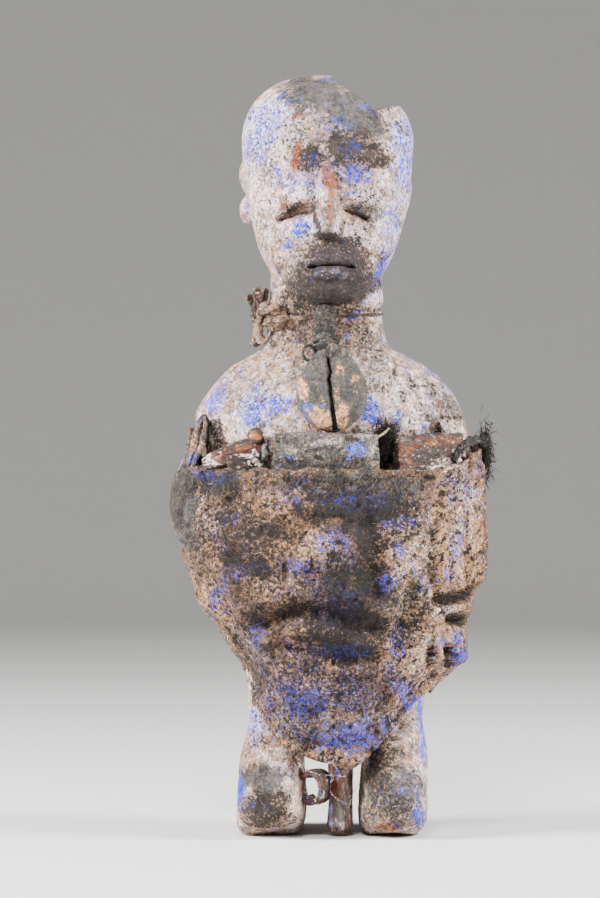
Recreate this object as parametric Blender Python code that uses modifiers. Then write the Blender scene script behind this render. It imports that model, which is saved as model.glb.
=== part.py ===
# Small carved wooden power figure that stands on its own feet. A stiff cloth pouch is
# wrapped round the trunk, a cowrie hangs at the neck, and bark, a folded packet, chips
# and tufts are tucked into the pouch's mouth.
# Frame: metres, +Z up, the figure faces -Y, origin on the floor under its middle.

import math

import bmesh
import bpy
import numpy as np
from mathutils import Euler, Vector

# Driving sizes, in metres
FIGURE_HEIGHT = 0.200
SEAT_GAP = 0.0003
CLOTH_HEM = 0.0015
CLOTH_BLANK = 0.0044
COWRIE_LENGTH = 0.0232
COWRIE_WIDTH = 0.0180
COWRIE_DEPTH = 0.0092
CORD_DIAMETER = 0.0014
STEM_DIAMETER = 0.0056
PEG_DIAMETER = 0.0068
PEG_LIFT = 0.0006
BARK_WALL = 0.0014
ROLL_DIAMETER = 0.0048
STUB_DIAMETER = 0.0040
RAG_DIAMETER = 0.0030
TWIG_DIAMETER = 0.0010
WORN_EDGE = 0.0006
HAND_WORK = 0.00015

# How far the trunk's axis stands from the middle of the whole object's box
AXIS_X = -0.0010
AXIS_Y = 0.0024

# How square the outlines are, 2 being an ellipse
HEAD_SQUARE = 2.15
TRUNK_SQUARE = 2.4
FOOT_SQUARE = 2.8

# Everything below is a share of the figure's height unless its name says degrees.
# Head: height, then the fullness of its -X side, +X side, face and back
HEAD_FOOT = 0.690
HEAD = (
    (0.690, 0.112, 0.108, 0.118, 0.120),
    (0.745, 0.104, 0.0987, 0.124, 0.126),
    (0.769, 0.1046, 0.0986, 0.122, 0.128),
    (0.795, 0.1046, 0.1004, 0.121, 0.131),
    (0.822, 0.107, 0.1042, 0.120, 0.133),
    (0.848, 0.1095, 0.107, 0.119, 0.135),
    (0.888, 0.1185, 0.1145, 0.121, 0.137),
    (0.914, 0.128, 0.124, 0.124, 0.138),
    (0.938, 0.1387, 0.132, 0.128, 0.139),
    (0.959, 0.150, 0.139, 0.132, 0.138),
    (0.980, 0.167, 0.142, 0.134, 0.136),
    (1.000, 0.210, 0.142, 0.134, 0.134),
)
# Trunk and neck: height, then the reach to -X, to +X, to the front and to the back
TRUNK = (
    (0.200, 0.093, 0.105, 0.098, 0.095),
    (0.225, 0.105, 0.140, 0.118, 0.108),
    (0.270, 0.136, 0.168, 0.139, 0.127),
    (0.310, 0.164, 0.181, 0.150, 0.132),
    (0.350, 0.173, 0.195, 0.158, 0.135),
    (0.390, 0.178, 0.196, 0.160, 0.136),
    (0.420, 0.179, 0.197, 0.146, 0.135),
    (0.460, 0.180, 0.193, 0.120, 0.132),
    (0.500, 0.181, 0.187, 0.112, 0.127),
    (0.538, 0.176, 0.180, 0.108, 0.120),
    (0.557, 0.1735, 0.175, 0.104, 0.114),
    (0.577, 0.163, 0.1655, 0.098, 0.107),
    (0.597, 0.1466, 0.1493, 0.090, 0.098),
    (0.612, 0.130, 0.131, 0.080, 0.089),
    (0.629, 0.0995, 0.0985, 0.070, 0.081),
    (0.640, 0.0835, 0.079, 0.066, 0.079),
    (0.660, 0.0795, 0.0718, 0.0645, 0.0785),
    (0.681, 0.0745, 0.0665, 0.0615, 0.0755),
    (0.700, 0.0775, 0.0705, 0.064, 0.078),
    (0.745, 0.0765, 0.069, 0.060, 0.078),
)
# Legs and feet: height, half width, front and back, about each leg's own axis
LEG = (
    (0.000, 0.039, 0.104, 0.070),
    (0.012, 0.0435, 0.113, 0.075),
    (0.035, 0.0445, 0.119, 0.076),
    (0.060, 0.0435, 0.116, 0.074),
    (0.085, 0.043, 0.100, 0.070),
    (0.110, 0.041, 0.078, 0.065),
    (0.150, 0.037, 0.061, 0.060),
    (0.200, 0.044, 0.064, 0.066),
    (0.270, 0.052, 0.070, 0.072),
)
LEG_RIGHT_AXIS = ((0.000, -0.0757), (0.080, -0.0757), (0.150, -0.0674), (0.270, -0.062))
LEG_LEFT_AXIS = ((0.000, 0.0830), (0.050, 0.0848), (0.150, 0.0870), (0.270, 0.078))
# Cloth: height, then its reach to -X, +X, front and back
CLOTH = (
    (0.080, 0.098, 0.110, 0.100, 0.092),
    (0.130, 0.104, 0.118, 0.110, 0.104),
    (0.180, 0.108, 0.131, 0.122, 0.114),
    (0.211, 0.112, 0.156, 0.131, 0.121),
    (0.227, 0.117, 0.172, 0.136, 0.125),
    (0.243, 0.128, 0.178, 0.141, 0.129),
    (0.275, 0.148, 0.180, 0.149, 0.136),
    (0.3065, 0.1715, 0.1895, 0.158, 0.140),
    (0.338, 0.1805, 0.2015, 0.165, 0.143),
    (0.370, 0.1865, 0.2065, 0.169, 0.144),
    (0.417, 0.188, 0.206, 0.169, 0.143),
    (0.449, 0.189, 0.2025, 0.166, 0.142),
    (0.475, 0.1895, 0.206, 0.165, 0.140),
    (0.498, 0.1895, 0.198, 0.163, 0.137),
    (0.540, 0.1835, 0.190, 0.160, 0.131),
)
# Cloth's lower and upper edge: degrees round the figure from +X, then height
CLOTH_LOW_DEGREES = (
    (-180, 0.222), (-165, 0.205), (-147, 0.174), (-131, 0.128), (-117, 0.104),
    (-93, 0.091), (-79, 0.082), (-66, 0.099), (-52, 0.128), (-25, 0.184),
    (0, 0.188), (60, 0.184), (90, 0.180), (130, 0.186), (180, 0.222),
)
CLOTH_TOP_DEGREES = (
    (-180, 0.534), (-168, 0.526), (-153, 0.484), (-140, 0.480), (-90, 0.480),
    (-40, 0.482), (-22, 0.498), (0, 0.512), (30, 0.505), (90, 0.492),
    (150, 0.500), (170, 0.528), (180, 0.534),
)
# Cowrie: its middle's height, how far its back sinks into the caked chest, its lean
COWRIE_MIDDLE = 0.584
COWRIE_SINK = 0.004
COWRIE_LEAN_DEGREES = 14
# Sagging folds: crease height, how deep it is, how far it reaches up and down
CLOTH_FOLDS = ((0.388, 0.0030, 0.012), (0.282, 0.0036, 0.014), (0.228, 0.0030, 0.012))

COLOURS = {
    "caked_wood": ("B9A48C", 0.85),
    "caked_cloth": ("8C7A63", 0.90),
    "neck_cord": ("8D7862", 0.90),
    "dark_hide": ("3A2A20", 0.85),
    "ash_grey_fibre": ("4A4A46", 0.92),
    "crusted_shell": ("5E5B55", 0.70),
    "red_brown_bark": ("6A3A26", 0.80),
    "dark_seed": ("32251F", 0.60),
    "ash_grey_cloth": ("5A5A55", 0.92),
    "black_hair": ("17120F", 0.80),
    "pale_twig": ("9B8B74", 0.80),
    "pale_chip": ("B8AC9C", 0.85),
    "dark_rag": ("44423F", 0.90),
    "red_brown_wood": ("6E4632", 0.78),
}


def linear(hex_colour):
    """An sRGB hex colour as the linear values that a shader takes."""
    parts = [int(hex_colour[i : i + 2], 16) / 255 for i in (0, 2, 4)]
    return [c / 12.92 if c <= 0.04045 else ((c + 0.055) / 1.055) ** 2.4 for c in parts] + [1.0]


def material(name):
    hex_colour, roughness = COLOURS[name]
    made = bpy.data.materials.get(name) or bpy.data.materials.new(name)
    made.use_nodes = True
    shader = made.node_tree.nodes["Principled BSDF"]
    shader.inputs["Base Color"].default_value = linear(hex_colour)
    shader.inputs["Roughness"].default_value = roughness
    shader.inputs["Metallic"].default_value = 0.0
    return made


def at(x, y, z):
    """A place given in shares of the figure's height."""
    return Vector((x, y, z)) * FIGURE_HEIGHT


def of_height(share):
    return share * FIGURE_HEIGHT


def smooth_through(rows):
    """A smooth curve through rows of (position, value, ...), which doesn't overshoot."""
    table = np.array(rows, float)
    place, value = table[:, 0], table[:, 1:]
    step = np.diff(place)[:, None]
    rise = np.diff(value, axis=0) / step
    slope = np.zeros_like(value)
    slope[0], slope[-1] = rise[0], rise[-1]
    for i in range(1, len(place) - 1):
        same_way = rise[i - 1] * rise[i] > 0
        total = np.where(same_way, rise[i - 1] + rise[i], 1.0)
        slope[i] = np.where(same_way, 2 * rise[i - 1] * rise[i] / total, 0.0)

    def value_at(where):
        w = min(max(where, place[0]), place[-1])
        i = min(int(np.searchsorted(place, w, side="right")) - 1, len(place) - 2)
        h = step[i, 0]
        t = (w - place[i]) / h
        return (
            (1 + 2 * t) * (1 - t) ** 2 * value[i] + t * (1 - t) ** 2 * h * slope[i]
            + t * t * (3 - 2 * t) * value[i + 1] + t * t * (t - 1) * h * slope[i + 1]
        )

    return value_at


def outline(angle, minus_x, plus_x, front, back, square):
    """The point at this angle on a rounded outline that reaches differently each way."""
    c, s = math.cos(angle), math.sin(angle)
    across = plus_x if c >= 0 else minus_x
    deep = back if s >= 0 else front
    reach = (abs(c / across) ** square + abs(s / deep) ** square) ** (-1 / square)
    return reach * c, reach * s


head_at = smooth_through(HEAD)
trunk_at = smooth_through(TRUNK)
leg_at = smooth_through(LEG)
cloth_at = smooth_through(CLOTH)
cloth_low = smooth_through(CLOTH_LOW_DEGREES)
cloth_top = smooth_through(CLOTH_TOP_DEGREES)


def collection(name):
    made = bpy.data.collections.new(name)
    bpy.context.scene.collection.children.link(made)
    return made


def add(name, mesh, material_name, location=(0, 0, 0), turn_degrees=(0, 0, 0)):
    """Make an object of a bmesh and put it in the figure's collection."""
    data = bpy.data.meshes.new(name)
    mesh.to_mesh(data)
    mesh.free()
    data.materials.append(material(material_name))
    data.shade_smooth()
    data.set_sharp_from_angle(angle=math.radians(50))
    made = bpy.data.objects.new(name, data)
    made.location = location
    made.rotation_euler = Euler([math.radians(a) for a in turn_degrees])
    FIGURE.objects.link(made)
    return made


def as_cutter(piece):
    """Hide a helper from the render and move it to the cutters."""
    for holder in list(piece.users_collection):
        holder.objects.unlink(piece)
    CUTTERS.objects.link(piece)
    piece.hide_render = True
    piece.display_type = "WIRE"
    return piece


def boolean(piece, other, operation):
    modifier = piece.modifiers.new(f"{operation.lower()} {other.name}", "BOOLEAN")
    modifier.operation = operation
    modifier.solver = "EXACT"
    modifier.object = other
    return modifier


def fuse(piece, *others):
    for other in others:
        boolean(piece, as_cutter(other), "UNION")


def carve(piece, *others):
    for other in others:
        boolean(piece, as_cutter(other), "DIFFERENCE")


def seat(piece, *neighbours):
    """Cut each neighbour out of the piece, as it was before its own cuts and grown by
    the gap that touching pieces keep."""
    for neighbour in neighbours:
        grown = neighbour.copy()
        grown.name = f"{neighbour.name} with gap, for {piece.name}"
        CUTTERS.objects.link(grown)
        grown.hide_render = True
        grown.display_type = "WIRE"
        for modifier in list(grown.modifiers):
            if modifier.type == "BOOLEAN" and modifier.operation == "DIFFERENCE":
                grown.modifiers.remove(modifier)
        swell = grown.modifiers.new("seat gap", "DISPLACE")
        swell.direction = "NORMAL"
        swell.mid_level = 0.0
        swell.strength = SEAT_GAP
        boolean(piece, grown, "DIFFERENCE")


def tube(around, rows, point_at, closed=True):
    """A tube whose wall is moved to point_at(angle, 0..1), from a flat grid."""
    mesh = bmesh.new()
    bmesh.ops.create_grid(mesh, x_segments=around, y_segments=rows, size=0.5)
    for vertex in mesh.verts:
        angle = 2 * math.pi * (vertex.co.x + 0.5) - math.pi
        vertex.co = point_at(angle, vertex.co.y + 0.5)
    bmesh.ops.remove_doubles(mesh, verts=mesh.verts, dist=1e-6)
    if closed:
        bmesh.ops.holes_fill(mesh, edges=[e for e in mesh.edges if e.is_boundary])
    bmesh.ops.recalc_face_normals(mesh, faces=mesh.faces)
    return mesh


def ball(radii, segments=18, rings=12):
    """An ellipsoid about its own middle, its radii in metres."""
    mesh = bmesh.new()
    bmesh.ops.create_uvsphere(mesh, u_segments=segments, v_segments=rings, radius=1)
    for vertex in mesh.verts:
        vertex.co = Vector(a * b for a, b in zip(vertex.co, radii))
    return mesh


def box(sizes, top=(1, 1), bevel=0.0):
    """A box about its own middle; top scales its upper face in X and Y."""
    mesh = bmesh.new()
    bmesh.ops.create_cube(mesh, size=1)
    for vertex in mesh.verts:
        if vertex.co.z > 0:
            vertex.co.x *= top[0]
            vertex.co.y *= top[1]
        vertex.co = Vector(a * b for a, b in zip(vertex.co, sizes))
    if bevel:
        bmesh.ops.bevel(
            mesh, geom=mesh.edges[:], offset=bevel, segments=1, profile=0.5, affect="EDGES",
        )
    return mesh


def rod(radius, length, sides=12, end=1.0):
    """A rod along Z about its own middle; end scales its upper radius."""
    mesh = bmesh.new()
    bmesh.ops.create_cone(
        mesh, cap_ends=True, segments=sides, radius1=radius, radius2=radius * end, depth=length,
    )
    return mesh


def bent_rod(name, places, radius, material_name, bevel_resolution=2):
    """A round rod along these places, made a mesh so that it can be cut."""
    curve = bpy.data.curves.new(name, "CURVE")
    curve.dimensions = "3D"
    curve.bevel_depth = radius
    curve.bevel_resolution = bevel_resolution
    curve.use_fill_caps = True
    spline = curve.splines.new("POLY")
    spline.points.add(len(places) - 1)
    for point, place in zip(spline.points, places):
        point.co = (*place, 1.0)
    guide = bpy.data.objects.new(f"{name} guide", curve)
    CUTTERS.objects.link(guide)
    bpy.context.view_layer.update()
    evaluated = guide.evaluated_get(bpy.context.evaluated_depsgraph_get())
    data = bpy.data.meshes.new_from_object(evaluated)
    mesh = bmesh.new()
    mesh.from_mesh(data)
    bmesh.ops.remove_doubles(mesh, verts=mesh.verts, dist=1e-6)
    bmesh.ops.recalc_face_normals(mesh, faces=mesh.faces)
    bpy.data.objects.remove(guide)
    bpy.data.meshes.remove(data)
    return add(name, mesh, material_name)


def rounded_route(places, count):
    """Points along a smooth curve through the places."""
    knots = np.linspace(0, 1, len(places))
    route = smooth_through([(k, *p) for k, p in zip(knots, places)])
    return [Vector(route(t)) for t in np.linspace(0, 1, count)]


def wobbled(mesh, amount, seed):
    """Move each vertex a little along its normal, as a hand-broken piece would be."""
    chance = np.random.default_rng(seed)
    mesh.normal_update()
    for vertex, push in zip(list(mesh.verts), chance.uniform(-amount, amount, len(mesh.verts))):
        vertex.co += vertex.normal * float(push)
    return mesh


def head_mesh():
    mesh = bmesh.new()
    bmesh.ops.create_uvsphere(mesh, u_segments=30, v_segments=18, radius=1)
    middle, half = (1 + HEAD_FOOT) / 2, (1 - HEAD_FOOT) / 2
    for vertex in mesh.verts:
        height = middle + half * vertex.co.z
        right, left, front, back = head_at(height)
        level = math.sqrt(max(0.0, 1 - vertex.co.z**2))
        x, y = outline(math.atan2(vertex.co.y, vertex.co.x), right, left, front, back, HEAD_SQUARE)
        vertex.co = at(x * level, y * level, height)
    return mesh


def trunk_point(angle, t):
    height = TRUNK[0][0] + (TRUNK[-1][0] - TRUNK[0][0]) * t
    x, y = outline(angle, *trunk_at(height), TRUNK_SQUARE)
    return at(x, y, height)


def leg_mesh(axis):
    axis_at = smooth_through(axis)

    def point(angle, t):
        height = LEG[-1][0] * t**1.25
        half, front, back = leg_at(height)
        x, y = outline(angle, half, half, front, back, FOOT_SQUARE)
        return at(axis_at(height)[0] + x, y, height)

    return tube(22, 12, point)


def cloth_point(angle, t):
    degrees = math.degrees(angle)
    low, top = cloth_low(degrees)[0], cloth_top(degrees)[0]
    height = low + (top - low) * t
    x, y = outline(angle, *cloth_at(height), TRUNK_SQUARE)
    front = max(0.0, -math.sin(angle)) ** 0.6
    for crease, depth, reach in CLOTH_FOLDS:
        fold = depth * front * math.exp(-(((height - crease) / reach) ** 2))
        x, y = x * (1 - fold / 0.17), y * (1 - fold / 0.17)
    return at(x, y, height)


def make_figure():
    """The carved wood, one solid."""
    figure = add("figure", tube(36, 22, trunk_point), "caked_wood")
    fuse(
        figure,
        add("head", head_mesh(), "caked_wood"),
        add("right leg", leg_mesh(LEG_RIGHT_AXIS), "caked_wood"),
        add("left leg", leg_mesh(LEG_LEFT_AXIS), "caked_wood"),
        add("elbow", ball(at(0.036, 0.046, 0.066)), "caked_wood", at(-0.1735, -0.016, 0.436)),
        add("muzzle", ball(at(0.062, 0.052, 0.050), 20, 12), "caked_wood", at(0.004, -0.078, 0.745)),
        add("ear", ball(at(0.017, 0.028, 0.025), 12, 8), "caked_wood", at(-0.1025, 0.006, 0.866)),
        add("ear lobe", ball(at(0.019, 0.024, 0.022), 12, 8), "caked_wood", at(-0.0995, 0.0, 0.822)),
        add("left ear", ball(at(0.015, 0.027, 0.033), 12, 8), "caked_wood", at(0.0945, 0.006, 0.846)),
        add(
            "nose", box(at(0.038, 0.034, 0.104), (0.35, 0.35), WORN_EDGE), "caked_wood",
            at(-0.002, -0.122, 0.836), (-7, 0, 0),
        ),
        add("lower lip", ball(at(0.027, 0.012, 0.010), 14, 8), "caked_wood", at(0.003, -0.122, 0.7345)),
        add("upper lip", ball(at(0.031, 0.012, 0.009), 14, 8), "caked_wood", at(0.003, -0.121, 0.756)),
    )
    carve(
        figure,
        add("crown chip", box(at(0.090, 0.400, 0.060)), "caked_wood", at(0.0394, 0, 1.0068), (0, 36.2, 0)),
        add("crown step", box(at(0.080, 0.400, 0.060)), "caked_wood", at(0.0950, 0, 0.9890), (0, 2, 0)),
        add("worn toe", box(at(0.120, 0.100, 0.020)), "caked_wood", at(-0.0757, -0.0848, -0.0045), (-6, 0, 0)),
        add("mouth", box(at(0.046, 0.030, 0.0045)), "caked_wood", at(0.003, -0.131, 0.7455)),
        add(
            "right eye", box(at(0.040, 0.020, 0.0070), (1, 0.6)), "caked_wood",
            at(-0.0440, -0.1150, 0.8175), (0, -18, 24),
        ),
        add(
            "left eye", box(at(0.040, 0.020, 0.0060), (1, 0.6)), "caked_wood",
            at(0.0420, -0.1160, 0.8170), (0, 14, -24),
        ),
    )
    return figure


def make_cloth(figure):
    """The pouch: an open sheet made thick, with the trunk and arm cut out of it."""
    mesh = tube(38, 15, cloth_point, closed=False)
    middle = mesh.faces[:][len(mesh.faces) // 2]
    if middle.normal.xy.dot(middle.calc_center_median().xy) < 0:
        bmesh.ops.reverse_faces(mesh, faces=mesh.faces)
    wrap = add("wrap", mesh, "caked_cloth")
    body = wrap.vertex_groups.new(name="over the trunk")
    for vertex in wrap.data.vertices:
        height = vertex.co.z / FIGURE_HEIGHT
        up = min(max((0.425 - height) / 0.03, 0.0), 1.0)
        down = min(max((height - 0.255) / 0.03, 0.0), 1.0)
        body.add([vertex.index], min(up, down), "REPLACE")
    thick = wrap.modifiers.new("cloth thickness", "SOLIDIFY")
    thick.thickness = CLOTH_BLANK
    thick.offset = -1
    thick.vertex_group = body.name
    thick.thickness_vertex_group = CLOTH_HEM / CLOTH_BLANK
    seat(wrap, figure)
    return wrap


def neck_ring(name, height, radius, sink, material_name):
    """A cord laid round the neck, its own radius out from the wood."""
    out = (radius - sink) / FIGURE_HEIGHT

    def point(angle, t):
        level = height + 0.004 * math.cos(angle - 0.6)
        reach = [side + out for side in trunk_at(level)]
        x, y = outline(angle, *reach, TRUNK_SQUARE)
        turn = 2 * math.pi * t
        away = Vector((x, y, 0)).normalized()
        offset = away * radius * math.cos(turn) + Vector((0, 0, radius * math.sin(turn)))
        return at(x, y, level) + offset

    return add(name, tube(28, 6, point, closed=False), material_name)


def strip(length, width, thickness, bend):
    """A flat strip along X, bowed by this much at its middle."""
    mesh = box((length, width, thickness))
    bmesh.ops.subdivide_edges(
        mesh, edges=[e for e in mesh.edges if abs((e.verts[0].co - e.verts[1].co).x) > length / 2],
        cuts=7, use_grid_fill=True,
    )
    for vertex in mesh.verts:
        vertex.co.z += bend * (1 - (2 * vertex.co.x / length) ** 2)
    return mesh


def make_roll(radius, length, open_degrees, sides=14):
    """A roll of bark: a ring sector swept along X, open by this many degrees."""
    mesh = bmesh.new()
    bmesh.ops.create_grid(mesh, x_segments=sides, y_segments=1, size=0.5)
    sweep = math.radians(360 - open_degrees)
    for vertex in mesh.verts:
        angle = sweep * vertex.co.x + math.pi
        x = vertex.co.y * length
        vertex.co = Vector((x, radius * math.cos(angle), radius * math.sin(angle)))
    centre = Vector((0, 0, 0))
    face = mesh.faces[:][0]
    middle = face.calc_center_median() - centre
    if face.normal.yz.dot(middle.yz) < 0:
        bmesh.ops.reverse_faces(mesh, faces=mesh.faces)
    return mesh


for old in list(bpy.data.objects):
    bpy.data.objects.remove(old)
FIGURE = collection("power figure")
CUTTERS = collection("cutters")

figure = make_figure()
wrap = make_cloth(figure)

# Cord round the neck, with its knot at the figure's right
neck_cord = neck_ring("neck_cord", 0.681, CORD_DIAMETER / 2, -0.0001, "neck_cord")
fuse(neck_cord, add("knot", ball(at(0.020, 0.020, 0.022), 12, 8), "neck_cord", at(-0.0745, -0.042, 0.681)))
seat(neck_cord, figure)

# Scrap of hide caught behind the knot
neck_tatter = add(
    "neck_tatter", wobbled(box(at(0.020, 0.012, 0.076), (1.2, 1), WORN_EDGE), HAND_WORK, 3), "dark_hide",
    at(-0.0935, -0.006, 0.6785), (0, 6, 0),
)
seat(neck_tatter, figure, neck_cord)

# Cowrie, its slit to the front, leaning back on the chest
shell = bmesh.new()
bmesh.ops.create_uvsphere(shell, u_segments=18, v_segments=12, radius=1)
for vertex in shell.verts:
    taper = 1 - 0.20 * max(0.0, vertex.co.z) ** 1.5
    low = 1 + 0.05 * math.sin(math.pi * min(1.0, max(0.0, -vertex.co.z)))
    vertex.co = Vector((
        vertex.co.x * COWRIE_WIDTH / 2 * taper * low,
        vertex.co.y * COWRIE_DEPTH / 2,
        vertex.co.z * COWRIE_LENGTH / 2,
    ))
chest = of_height(trunk_at(COWRIE_MIDDLE)[2] - COWRIE_SINK)
shell_middle = Vector((of_height(0.0026), -chest - COWRIE_DEPTH / 2, of_height(COWRIE_MIDDLE)))
lean = Euler((-math.radians(COWRIE_LEAN_DEGREES), 0, 0)).to_matrix()
lean_degrees = (-COWRIE_LEAN_DEGREES, 0, 0)
cowrie = add("cowrie", shell, "crusted_shell", shell_middle, lean_degrees)
slit_middle = shell_middle + lean @ Vector((COWRIE_WIDTH * 0.03, -COWRIE_DEPTH * 0.46, -COWRIE_LENGTH * 0.07))
slit = box((COWRIE_WIDTH * 0.05, COWRIE_DEPTH * 0.5, COWRIE_LENGTH * 0.74))
carve(cowrie, add("slit", slit, "crusted_shell", slit_middle, (-COWRIE_LEAN_DEGREES, -3, 0)))

# Stem that the shell hangs from, down from under the chin
shell_top = shell_middle + lean @ Vector((-COWRIE_WIDTH * 0.05, 0, COWRIE_LENGTH * 0.42))
stem_top = at(-0.004, -0.0835, 0.690)
stem_route = rounded_route(
    [stem_top, stem_top.lerp(shell_top, 0.35) + at(-0.003, 0.001, 0),
     stem_top.lerp(shell_top, 0.75) + at(-0.002, 0.002, 0), shell_top], 9,
)
pendant_stem = bent_rod("pendant_stem", stem_route, STEM_DIAMETER / 2, "ash_grey_fibre", 3)
seat(pendant_stem, figure, neck_cord)
seat(cowrie, figure, pendant_stem)

# Pieces tucked in at the figure's right
bark_roll = add(
    "bark_roll", rod(ROLL_DIAMETER / 2, of_height(0.0675), 14, 0.85), "red_brown_bark", at(-0.1130, -0.1120, 0.4990), (0, 76, 4),
)
seat(bark_roll, figure, wrap)
bark_strip = add(
    "bark_strip", strip(of_height(0.0425), of_height(0.006), of_height(0.023), of_height(0.0015)), "red_brown_bark", at(-0.0980, -0.1310, 0.4900),
    (0, -8, 8),
)
seat(bark_strip, figure, wrap, bark_roll)
stick_stub = add(
    "stick_stub", wobbled(rod(STUB_DIAMETER / 2, of_height(0.045), 12, 0.9), HAND_WORK, 5), "red_brown_bark",
    at(-0.0950, -0.1130, 0.5200), (70, 0, 12),
)
seat(stick_stub, figure, bark_roll)
seed = add("seed", ball(at(0.0062, 0.0070, 0.0135), 14, 10), "dark_seed", at(-0.0835, -0.1300, 0.5020))
seat(seed, figure, wrap, bark_strip, bark_roll, stick_stub)

# Folded packet in the middle
cloth_packet = add(
    "cloth_packet", wobbled(box(at(0.140, 0.030, 0.076), (0.94, 0.8), 2 * WORN_EDGE), HAND_WORK, 7),
    "ash_grey_cloth", at(-0.0045, -0.1350, 0.4850), (3, 1, 0),
)
seat(cloth_packet, figure, wrap, seed, cowrie)

# Tuft of hair, with a pale twig across it
hair_tuft = add(
    "hair_tuft", wobbled(ball(at(0.0125, 0.0120, 0.0260), 14, 10), HAND_WORK, 9), "black_hair",
    at(0.0720, -0.1240, 0.5160), (0, 22, 0),
)
seat(hair_tuft, figure, wrap, cloth_packet)
twig = bent_rod(
    "twig", [at(0.053, -0.1450, 0.5160), at(0.062, -0.1440, 0.5220), at(0.076, -0.1430, 0.5310)],
    TWIG_DIAMETER / 2, "pale_twig", 1,
)
seat(twig, hair_tuft, cloth_packet)

# Pieces tucked in at the figure's left
bark_block = add(
    "bark_block", wobbled(box(at(0.098, 0.020, 0.070), (1, 0.9), WORN_EDGE), HAND_WORK, 11),
    "red_brown_bark", at(0.1270, -0.1040, 0.4880), (0, -3, 28),
)
seat(bark_block, figure, wrap, hair_tuft)
chip_low = add(
    "chip_low", box(at(0.046, 0.016, 0.036), (0.8, 0.8), WORN_EDGE), "pale_chip",
    at(0.1100, -0.1060, 0.5260), (0, 12, 20),
)
seat(chip_low, figure, hair_tuft, bark_block)
chip_white = add(
    "chip_white", box(at(0.030, 0.014, 0.036), (0.9, 0.8), WORN_EDGE), "pale_chip",
    at(0.1590, -0.0850, 0.5330), (0, 2, 30),
)
seat(chip_white, figure, bark_block, chip_low)

# Twisted rag at the figure's left corner, and the dark tuft outside it
rag_route = rounded_route(
    [at(0.1600, -0.1000, 0.4900), at(0.1720, -0.0930, 0.5080), at(0.1860, -0.0760, 0.5175),
     at(0.1980, -0.0560, 0.5185), at(0.2040, -0.0400, 0.5130)], 10,
)
rag_tie = bent_rod("rag_tie", rag_route, RAG_DIAMETER / 2, "dark_rag", 2)
seat(rag_tie, figure, wrap, bark_block, chip_white)
side_tuft = add(
    "side_tuft", wobbled(ball(at(0.0110, 0.0200, 0.0360), 14, 10), HAND_WORK, 13), "black_hair",
    at(0.2070, -0.0150, 0.4980), (0, 10, 0),
)
seat(side_tuft, figure, wrap, rag_tie)

# Curl of bark and the wooden peg under the pouch, between the feet
bark_curl = add(
    "bark_curl", make_roll(of_height(0.020), of_height(0.0375), 80), "red_brown_bark",
    at(-0.0210, -0.0640, 0.0660), (0, 0, 90),
)
wall = bark_curl.modifiers.new("bark thickness", "SOLIDIFY")
wall.thickness = BARK_WALL
wall.offset = -1
seat(bark_curl, figure, wrap)
peg = add(
    "peg", rod(PEG_DIAMETER / 2, of_height(0.091), 16, 0.92), "red_brown_wood",
    at(0.0145, -0.0560, 0.0455) + Vector((0, 0, PEG_LIFT)),
)
seat(peg, figure, wrap, bark_curl)

# Everything stands on one empty, so that the box's middle is over the origin
stand = bpy.data.objects.new("stand", None)
FIGURE.objects.link(stand)
stand.location = (AXIS_X, AXIS_Y, 0)
for piece in list(FIGURE.objects) + list(CUTTERS.objects):
    if piece != stand:
        piece.parent = stand
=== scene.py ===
import math
from statistics import NormalDist

import bmesh
import bpy
import numpy as np
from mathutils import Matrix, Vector


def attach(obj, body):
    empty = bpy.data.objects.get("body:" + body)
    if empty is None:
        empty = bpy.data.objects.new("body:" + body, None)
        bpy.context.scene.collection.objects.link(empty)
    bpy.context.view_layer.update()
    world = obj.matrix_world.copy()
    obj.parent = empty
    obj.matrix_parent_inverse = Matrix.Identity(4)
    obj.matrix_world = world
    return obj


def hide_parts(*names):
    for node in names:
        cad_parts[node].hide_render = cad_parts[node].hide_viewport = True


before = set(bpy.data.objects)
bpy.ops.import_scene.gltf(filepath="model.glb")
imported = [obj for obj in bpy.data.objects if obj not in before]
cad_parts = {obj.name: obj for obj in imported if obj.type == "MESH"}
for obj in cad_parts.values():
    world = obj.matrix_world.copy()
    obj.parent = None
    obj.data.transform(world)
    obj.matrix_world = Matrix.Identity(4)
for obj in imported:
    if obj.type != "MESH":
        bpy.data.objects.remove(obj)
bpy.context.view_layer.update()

# Metres. The figure faces -Y; lengths named as shares are shares of its height.
HEIGHT = 0.2
AXIS = np.array((-0.001, 0.0024, 0.0))
# The viewer's distance in metres, and level in shares
VIEW_AWAY, VIEW_LEVEL = 0.9, 0.506
# How square each ring is: 2 is an ellipse
HEAD_SQUARE, TRUNK_SQUARE, FOOT_SQUARE = 2.15, 2.4, 2.8

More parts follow.
